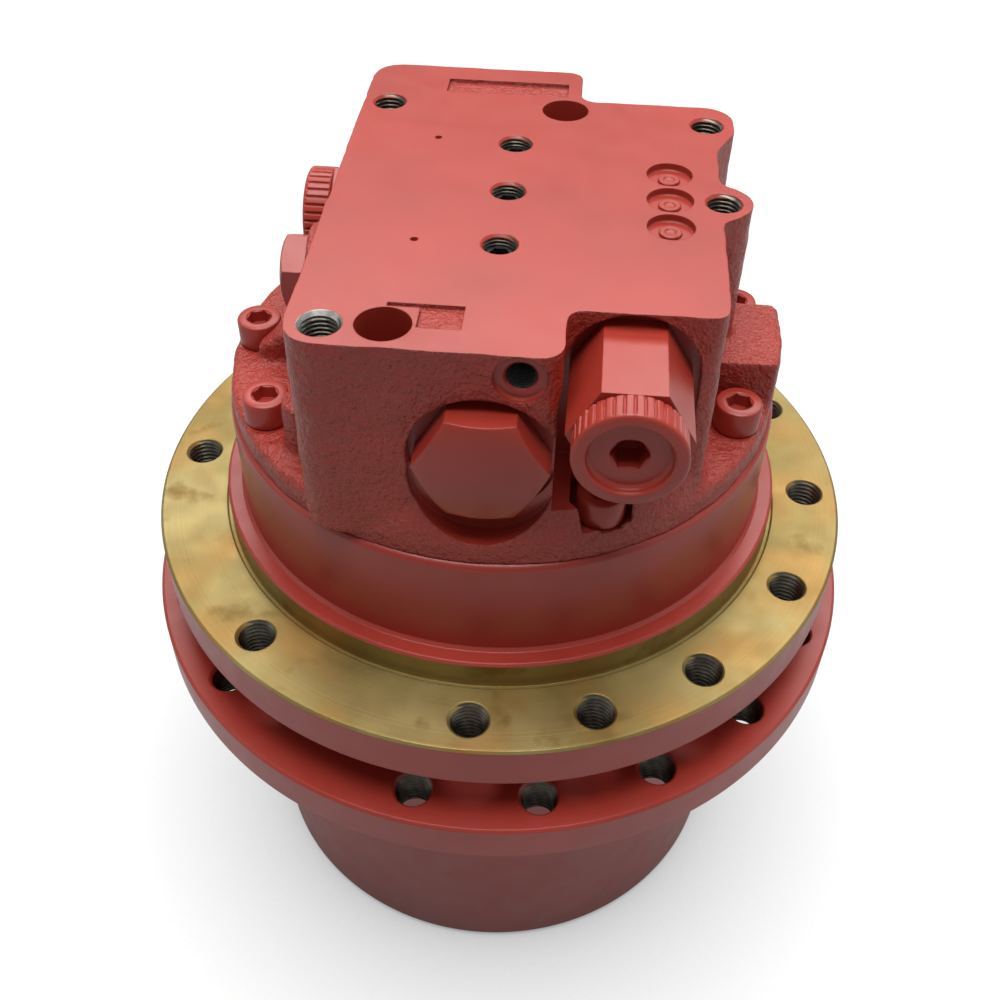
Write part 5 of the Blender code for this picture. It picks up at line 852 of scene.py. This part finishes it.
class DRIVE_OT_spindle(bpy.types.Operator):
    """Spindle: yellow flange face with twelve tapped holes, pilot, neck and the motor's rooms"""

    bl_idname = "final_drive.spindle"
    bl_label = "Spindle"

    def execute(self, context):
        sizes = context.scene.final_drive_sizes
        lip = quarter(NECK_RADIUS, NECK_TOP, NECK_LIP, -1, 9)
        profile = [*SPINDLE_OUTSIDE, *lip, *SPINDLE_ROOMS]
        centres = polar(PLANET_CENTRE, np.arange(3) * TURN / 3)
        pins = each(upright(centres, 0), lathe, PIN, 64)
        feet = [rectangle(side * SADDLE_OFFSET, 0, *SADDLE_SIZE) for side in (-1, 1)]
        saddles = [prism(foot, *SADDLE_HEIGHTS) for foot in feet]
        cradle = rod(CRADLE_RADIUS, -CRADLE_REACH, CRADLE_REACH, along((0, 0, PIVOT), (1, 0, 0)), 96)
        up = upright(polar(FLANGE_CIRCLE, FLANGE_HOLES), FLANGE_TOP)
        depth = FLANGE_TOP - FLANGE_LOW + OVERRUN
        taps = each(up, tapped, *FLANGE_TAP, sizes.flange_pitch, depth)
        screws = each(upright(screw_places(), NECK_TOP), lathe, SPINDLE_HOLE, 32)
        steps = [
            join(STEEL, *pins), join(STEEL, *saddles), cut(STEEL, cradle),
            cut(TAPPED, *taps), cut(TAPPED, *screws),
            cut(YELLOW, *each(up, mouth, FLANGE_MOUTH)),
        ]
        shell = [ring(profile, sizes.segments)]
        made = piece("spindle_shell", "spindle", shell, steps, slot="red_paint")
        self.gild(made.data, made.data.materials.find(YELLOW))
        return {"FINISHED"}

    def gild(self, data, slot):
        """The flange's face, its top edge and the pilot's side carry the yellow passivation."""
        count = len(data.polygons)
        middle, index = np.empty(count * 3), np.empty(count, np.int32)
        data.polygons.foreach_get("center", middle)
        data.polygons.foreach_get("material_index", index)
        middle = middle.reshape(-1, 3)
        radius, height = np.hypot(middle[:, 0], middle[:, 1]), middle[:, 2]
        face = (height > FLANGE_TOP - 0.8 * MM) & (radius > PILOT_RADIUS - 0.1 * MM)
        face &= radius < FLANGE_RADIUS - 0.2 * MM
        band = (height > FLANGE_TOP - MM) & (height < PILOT_TOP - 0.5 * MM)
        band &= (radius > PILOT_RADIUS - 0.3 * MM) & (radius < FLANGE_RADIUS - 0.1 * MM)
        index[(index == 0) & (face | band)] = slot
        data.polygons.foreach_set("material_index", index)


class DRIVE_OT_valve_block(bpy.types.Operator):
    """Sand-cast valve block with its milled top, spot faces, ports and tapped holes"""

    bl_idname = "final_drive.valve_block"
    bl_label = "Valve Block"

    def execute(self, context):
        sizes = context.scene.final_drive_sizes
        slab = rectangle(0, 0, SLAB, SLAB)
        milled = [
            cut(ENAMEL, prism(slab, BLOCK_TOP, BLOCK_TOP + SLAB / 8)),
            cut(ENAMEL, prism(slab, BASE_LOW - SLAB / 8, BASE_LOW)),
            join(STEEL, lathe(SPIGOT, 128)),
        ]
        steps = milled + self.side_cuts() + self.screw_cuts() + self.top_cuts(sizes)
        parts = self.castings()
        piece("valve_block_casting", "valve_block", parts, steps, CAST, cast=sizes.grain, sharp=28.0)
        return {"FINISHED"}

    def castings(self):
        """Rough forms that the remesh blends: outlines carried up, or turned round an axis."""
        low = DECK - 3.0 * MM
        block = prism(rounded(BLOCK_OUTLINE), DECK - 6.0 * MM, BLOCK_TOP + 4.0 * MM)
        base = lathe(BASE, 192)
        rim = polar(BASE_RADIUS - 0.2 * MM, np.linspace(*np.arcsin(PAD_ENDS), 24))
        pad = prism(np.vstack([rim, [(PAD_INNER, rim[-1, 1]), (PAD_INNER, rim[0, 1])]]), low, PAD_TOP)
        arc = circle(BASE_RADIUS, 192)
        left, right = SHELF_SIDES
        near, back = SHELF_BACK
        arc = arc[(arc[:, 1] < near) & (arc[:, 0] > left) & (arc[:, 0] < right)]
        outline = np.vstack([arc, [(arc[-1, 0], back), (arc[0, 0], back)]])
        shelf, shelf_faces = prism(outline, SHELF_LOW, SHELF_TOP)
        shelf[len(shelf) // 2 :, :2] *= SHELF_TAPER
        stand = Matrix.Translation((0, RIB_PLACE, 0)) @ Matrix.Rotation(math.pi / 2, 4, "X")
        rib = prism(RIB_OUTLINE, 0, RIB_THICKNESS, stand)
        boss = rod(*BOSS, along((BLOCK_LEFT, *SIDE_PLUG_SEAT[1:]), (-1, 0, 0)))
        column = rod(*COLUMN, *upright(COLUMN_PLACE, 0), 48)
        return [block, base, pad, (shelf, shelf_faces), rib, boss, column]

    def side_cuts(self):
        """Spool bore with its spot faces, the adapters' seats, the slot under the front one and the
        pilot port."""
        x, z = SPOOL_AXIS
        ends = [along((x, seat, z), (0, sign, 0)) for seat, sign in CAP_SEATS.values()]
        spots = each(ends, lathe, SPOT, 96)
        low, radius = SCOOP
        scoop = rod(radius, 0, POCKET_DEPTH / 2, along((x, SCOOP_BACK, low + radius), (0, -1, 0)), 96)
        spool = rod(*SPOOL_BORE, along((x, SPOOL_MIDDLE, z), (0, 1, 0)))
        px, py, pz = FRONT_SEAT
        front = along(FRONT_SEAT, (0, -1, 0))
        left, side = along(LEFT_SEAT, (-1, 0, 0)), along(SIDE_PLUG_SEAT, (-1, 0, 0))
        pocket = rod(POCKET_RADIUS, 0, POCKET_DEPTH, front, 96)
        under = rectangle(px, py - POCKET_DEPTH / 2, 2 * POCKET_RADIUS, POCKET_DEPTH)
        slot = prism(under, POCKET_LOW, pz)
        notch = prism(FRONT_NOTCH, DECK + MM, SHELF_TOP + OVERRUN)
        ports = [
            rod(*PORT_BORE, OVERRUN, front), rod(*PORT_BORE, 6 * OVERRUN, left),
            rod(*SIDE_PLUG_BORE, 4 * OVERRUN, side),
        ]
        faces = rod(SIDE_PLUG_FACE, 0, 6 * OVERRUN, side), rod(LEFT_FACE, 0, 6 * OVERRUN, left)
        pilot = along(PILOT_PORT, (0, -1, 0))
        pilot_seat = pilot @ Matrix.Translation((0, 0, -PORT_FACE_DEPTH))
        return [
            *(cut(ENAMEL, part) for part in (*spots, scoop)), cut(STEEL, spool),
            *(cut(ENAMEL, part) for part in (pocket, slot, notch, *faces)),
            cut(TAPPED, *ports),
            cut(ENAMEL, lathe(PILOT_FACE, 64, pilot)),
            # The pilot port's thread is nearly black, darker than the other tapped holes
            cut(BLACK, tapped(*PILOT_TAP, pilot_seat)),
            cut(ENAMEL, mouth(PILOT_MOUTH, pilot_seat)),
        ]

    def screw_cuts(self):
        """Spot faces of the screws and their clearance holes."""
        wide, deep = SCREW_FACE, (DEEP_BORE_RADIUS, BLOCK_TOP - SCREW_SEAT + OVERRUN)
        low, cuts = -SCREW_HOLE_DEPTH, []
        for index, matrix in enumerate(upright(screw_places(), SCREW_SEAT)):
            radius, height = deep if index == len(SCREW_ANGLES) else wide
            hole = [(0, low), (SCREW_HOLE, low), (SCREW_HOLE, 0)]
            cuts.append(lathe([*hole, (radius, 0), (radius, height), (0, height)], 48, matrix))
        return [cut(ENAMEL, *cuts)]

    def top_cuts(self, sizes):
        """Bare cast panels, tapped holes, galleries, deep bore, expander plugs and pricked marks."""
        up, over = upright(TOP_TAPS), upright(GALLERIES)
        mouths = each(up[:1] + up[2:], mouth, TOP_MOUTH) + each(over, mouth, GALLERY_MOUTH)
        bore = rod(DEEP_BORE_RADIUS, -DEEP_BORE_DEPTH, OVERRUN, upright(DEEP_BORES)[0])
        low, high = BLOCK_TOP - PANEL_DEPTH, BLOCK_TOP + OVERRUN
        return [
            *(cut(CAST, prism(rectangle(*panel), low, high)) for panel in PANELS),
            cut(TAPPED, *each(up, tapped, *TOP_TAP, sizes.top_pitch, TOP_TAP_DEPTH)),
            cut(TAPPED, *each(over, tapped, *GALLERY_TAP)), cut(ENAMEL, *mouths),
            cut(BRIGHT, mouth(RUBBED_MOUTH, up[1])), cut(ENAMEL, bore),
            cut(ENAMEL, *each(upright(EXPANDERS), lathe, EXPANDER_SEAT, 64)),
            join(ENAMEL, *each(upright(EXPANDERS), lathe, EXPANDER, 48)),
            cut(ENAMEL, *each(upright(PRICKS), lathe, PRICK, 24)),
        ]


class DRIVE_OT_screws(bpy.types.Operator):
    """Eight enamelled socket-head screws and the three gallery plugs"""

    bl_idname = "final_drive.screws"
    bl_label = "Screws"

    def execute(self, context):
        for index, place in enumerate(upright(screw_places(), SCREW_SEAT + GAP), 1):
            turn = place @ Matrix.Rotation(SCREW_STEP_ANGLE * (index - 1), 4, "Z")
            steps = [socket(*SCREW_SOCKET, turn), cut(None, lathe(SCREW_MOUTH, 48, place))]
            piece(f"socket_screw_{index}", f"block_screw_{index}", [lathe(SCREW, 64, place)], steps)
        looks = (BLACK, "frame_side", "dark_steel")
        for index, place in enumerate(upright(GALLERIES, BLOCK_TOP - GALLERY_PLUG_DROP), 1):
            plug, steps = [lathe(GALLERY_PLUG, 48, place)], [socket(*GALLERY_SOCKET, OVERRUN, place)]
            piece(f"gallery_screw_{index}", f"gallery_plug_{index}", plug, steps, *looks)
        return {"FINISHED"}


class DRIVE_OT_springs(bpy.types.Operator):
    """Two coil springs that hold the counterbalance spool in its middle"""

    bl_idname = "final_drive.springs"
    bl_label = "Spool Springs"

    def execute(self, context):
        x, z = SPOOL_AXIS
        for name, (seat, sign) in CAP_SEATS.items():
            near = SPOOL_MIDDLE + sign * SPOOL_REACH
            far = seat - sign * (CAP_SHANK[1] + GAP)
            matrix = along((x, near, z), (0, sign, 0))
            wound = coil(SPRING_RADIUS, SPRING_WIRE, SPRING_TURNS, abs(far - near), matrix)
            data = mesh_of(f"{name}_coil_spring", [wound], STEEL)
            made = smooth(f"{name}_coil_spring", data, 50.0)
            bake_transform(made)
            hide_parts(f"{name}_spool_spring")
        return {"FINISHED"}


class DRIVE_OT_plugs(bpy.types.Operator):
    """Hexagon caps of the spool bore and the side plug"""

    bl_idname = "final_drive.plugs"
    bl_label = "Hexagon Plugs"

    def execute(self, context):
        x, z = SPOOL_AXIS
        for name, (seat, sign) in CAP_SEATS.items():
            matrix = along((x, seat, z), (0, sign, 0))
            self.plug(f"{name}_hexagon_cap", f"{name}_spool_cap", *CAP_HEAD, CAP_SHANK, matrix)
        matrix = along(SIDE_PLUG_SEAT, (-1, 0, 0))
        self.plug("side_hexagon_plug", "side_plug", *SIDE_PLUG_HEAD, SIDE_PLUG_SHANK, matrix)
        return {"FINISHED"}

    def plug(self, name, node, flats, height, shank, matrix):
        """Chamfered hexagon head over its threaded shank."""
        radius, length = shank
        steps = [join(TAPPED, rod(radius, -length, height / 2, matrix, 48))]
        piece(name, node, [hex_head(flats, GAP, height, matrix)], steps)


class DRIVE_OT_fittings(bpy.types.Operator):
    """Two hose adapters with knurled transport caps"""

    bl_idname = "final_drive.fittings"
    bl_label = "Adapters and Caps"

    def execute(self, context):
        sizes = context.scene.final_drive_sizes
        fittings = (
            ("front", FRONT_LENGTH, along(FRONT_SEAT, (0, -1, 0))),
            ("left", LEFT_LENGTH, along(LEFT_SEAT, (-1, 0, 0))),
        )
        for name, length, matrix in fittings:
            self.adapter(name, length, matrix)
            self.cap(name, matrix @ Matrix.Translation((0, 0, length)), sizes)
        return {"FINISHED"}

    def adapter(self, name, length, matrix):
        """Hexagon adapter with a bore through it."""
        steps = [
            join(TAPPED, rod(*ADAPTER_THREAD, length / 2, matrix)),
            cut(TAPPED, rod(*ADAPTER_BORE, length + OVERRUN, matrix)),
        ]
        bar = [prism(hexagon(ADAPTER_FLATS), GAP, length, matrix)]
        piece(f"{name}_hexagon_adapter", f"{name}_port_adapter", bar, steps)

    def cap(self, name, matrix, sizes):
        """Cap turned round its axis, r less the knurl's depth between ridges that fade at both ends."""

        def knurl(radius, height, angle):
            tooth = np.abs((angle * sizes.knurls / TURN) % 1.0 - 0.5) * 2
            groove = np.clip((tooth - KNURL_LAND) / KNURL_FLANK, 0, 1)
            (low, rise), (high, fall) = KNURL_RUN
            fade = np.clip((height - low) / rise, 0, 1) * np.clip((high - height) / fall, 0, 1)
            return radius - (radius > KNURL_RADIUS - 0.01 * MM) * groove * fade * sizes.knurl_depth

        steps = [
            join(None, rod(*KNURL_STEM, matrix)), socket(*KNURL_SOCKET, matrix),
            cut(None, lathe(KNURL_MOUTH, 48, matrix)),
        ]
        outside = [lathe(KNURL_CAP, 16 * sizes.knurls, matrix, knurl)]
        piece(f"{name}_knurled_cap", f"{name}_port_cap", outside, steps)


class DRIVE_OT_inner(bpy.types.Operator):
    """Finishes of the gears, bearings, motor and brake, which keep the frame's own meshes"""

    bl_idname = "final_drive.inner"
    bl_label = "Inner Parts"

    def execute(self, context):
        for name, starts in INNER_FINISHES.items():
            for node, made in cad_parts.items():
                if node.startswith(starts):
                    made.data.materials.clear()
                    made.data.materials.append(finish(name))
        return {"FINISHED"}


class DRIVE_OT_stage(bpy.types.Operator):
    """White floor, soft boxes and the camera of the photograph"""

    bl_idname = "final_drive.stage"
    bl_label = "Stage"

    def execute(self, context):
        scene = context.scene
        self.floor()
        self.world(scene)
        for name, (place, target, (wide, high), power) in LAMPS.items():
            data = bpy.data.lights.new(name, "AREA")
            data.shape, data.size, data.size_y, data.energy = "RECTANGLE", wide, high, power
            lamp = shown(name, data)
            lamp.location = place
            lamp.rotation_euler = (Vector(target) - Vector(place)).to_track_quat("-Z", "Y").to_euler()
        data = bpy.data.cameras.new("photo_camera")
        data.sensor_width, data.lens = 36.0, CAMERA_LENS
        data.clip_start = 10 * MM
        camera = shown("photo_camera", data)
        camera.location, camera.rotation_euler = CAMERA_PLACE, CAMERA_TURN
        scene.camera = camera
        scene.view_settings.view_transform = "Standard"
        return {"FINISHED"}

    def floor(self):
        """Seamless matt paper, nearly white to camera rays: it gives the eye no edge and keeps a soft
        shadow, part real and part painted: ambient occlusion darkens its white near the object."""
        data = mesh_of("studio_floor", [lathe([(0, 0), (FLOOR_RADIUS, 0)], 96)])
        made = bpy.data.materials.new("studio_floor")
        made.use_nodes = True
        tree = made.node_tree
        shader = tree.nodes["Principled BSDF"]
        shader.inputs["Base Color"].default_value = (FLOOR_GREY, FLOOR_GREY, FLOOR_GREY, 1)
        shader.inputs["Roughness"].default_value = 0.9
        rays = add(tree, "ShaderNodeLightPath", {}).outputs
        camera_share, glossy_share = FLOOR_SHARES
        values = {"operation": "MULTIPLY", 0: rays["Is Glossy Ray"], 1: glossy_share}
        part = add(tree, "ShaderNodeMath", values).outputs[0]
        # Ambient occlusion darkens the floor's white near the object: a painted contact shadow
        near = add(tree, "ShaderNodeAmbientOcclusion", {"samples": 8, "Distance": SHADOW_REACH})
        values = {"Color": near.outputs["Color"], "Strength": FLOOR_WHITE}
        glow = add(tree, "ShaderNodeEmission", values)
        values = {"operation": "MULTIPLY_ADD", 0: rays["Is Camera Ray"], 1: camera_share, 2: part}
        share = add(tree, "ShaderNodeMath", values)
        values = {0: share.outputs[0], 1: shader.outputs[0], 2: glow.outputs[0]}
        mix = add(tree, "ShaderNodeMixShader", values)
        tree.links.new(mix.outputs[0], tree.nodes["Material Output"].inputs["Surface"])
        data.materials.append(made)
        shown("studio_floor", data)

    def world(self, scene):
        """White surroundings for camera and glossy rays, a plain level for the rest."""
        world = bpy.data.worlds.new("studio")
        world.use_nodes = True
        scene.world = world
        tree = world.node_tree
        rays = add(tree, "ShaderNodeLightPath", {}).outputs
        values = {"operation": "MAXIMUM", 0: rays["Is Camera Ray"], 1: rays["Is Transmission Ray"]}
        clear = add(tree, "ShaderNodeMath", values)
        more, level = SURROUND_GLOSSY, SURROUND
        values = {"operation": "MULTIPLY_ADD", 0: rays["Is Glossy Ray"], 1: more, 2: level}
        level = add(tree, "ShaderNodeMath", values)
        values = {"operation": "MAXIMUM", 0: clear.outputs[0], 1: level.outputs[0]}
        level = add(tree, "ShaderNodeMath", values)
        background = tree.nodes["Background"]
        background.inputs["Color"].default_value = (1, 1, 1, 1)
        tree.links.new(level.outputs[0], background.inputs["Strength"])


PIECES = (
    "stage", "hub", "cover", "spindle", "valve_block", "screws", "springs", "plugs", "fittings",
    "inner",
)


class DRIVE_PT_panel(bpy.types.Panel):
    """Sizes, finishes and pieces of the final drive"""

    bl_idname = "DRIVE_PT_panel"
    bl_label = "Final Drive"
    bl_space_type = "VIEW_3D"
    bl_region_type = "UI"
    bl_category = "Final Drive"

    def draw(self, context):
        for group in (context.scene.final_drive_sizes, context.scene.final_drive_finishes):
            for name in group.bl_rna.properties.keys():
                if name not in ("rna_type", "name"):
                    self.layout.prop(group, name)
        for name in PIECES:
            self.layout.operator(f"final_drive.{name}")


CLASSES = (
    FinalDriveSizes, FinalDriveFinishes, DRIVE_OT_hub, DRIVE_OT_cover, DRIVE_OT_spindle,
    DRIVE_OT_valve_block, DRIVE_OT_screws, DRIVE_OT_springs, DRIVE_OT_plugs, DRIVE_OT_fittings,
    DRIVE_OT_inner, DRIVE_OT_stage, DRIVE_PT_panel,
)


def register():
    for made in CLASSES:
        bpy.utils.register_class(made)
    bpy.types.Scene.final_drive_sizes = PointerProperty(type=FinalDriveSizes)
    bpy.types.Scene.final_drive_finishes = PointerProperty(type=FinalDriveFinishes)


def unregister():
    del bpy.types.Scene.final_drive_finishes
    del bpy.types.Scene.final_drive_sizes
    for made in reversed(CLASSES):
        bpy.utils.unregister_class(made)


def main():
    register()
    for name in PIECES:
        getattr(bpy.ops.final_drive, name)()


if __name__ == "__main__":
    main()
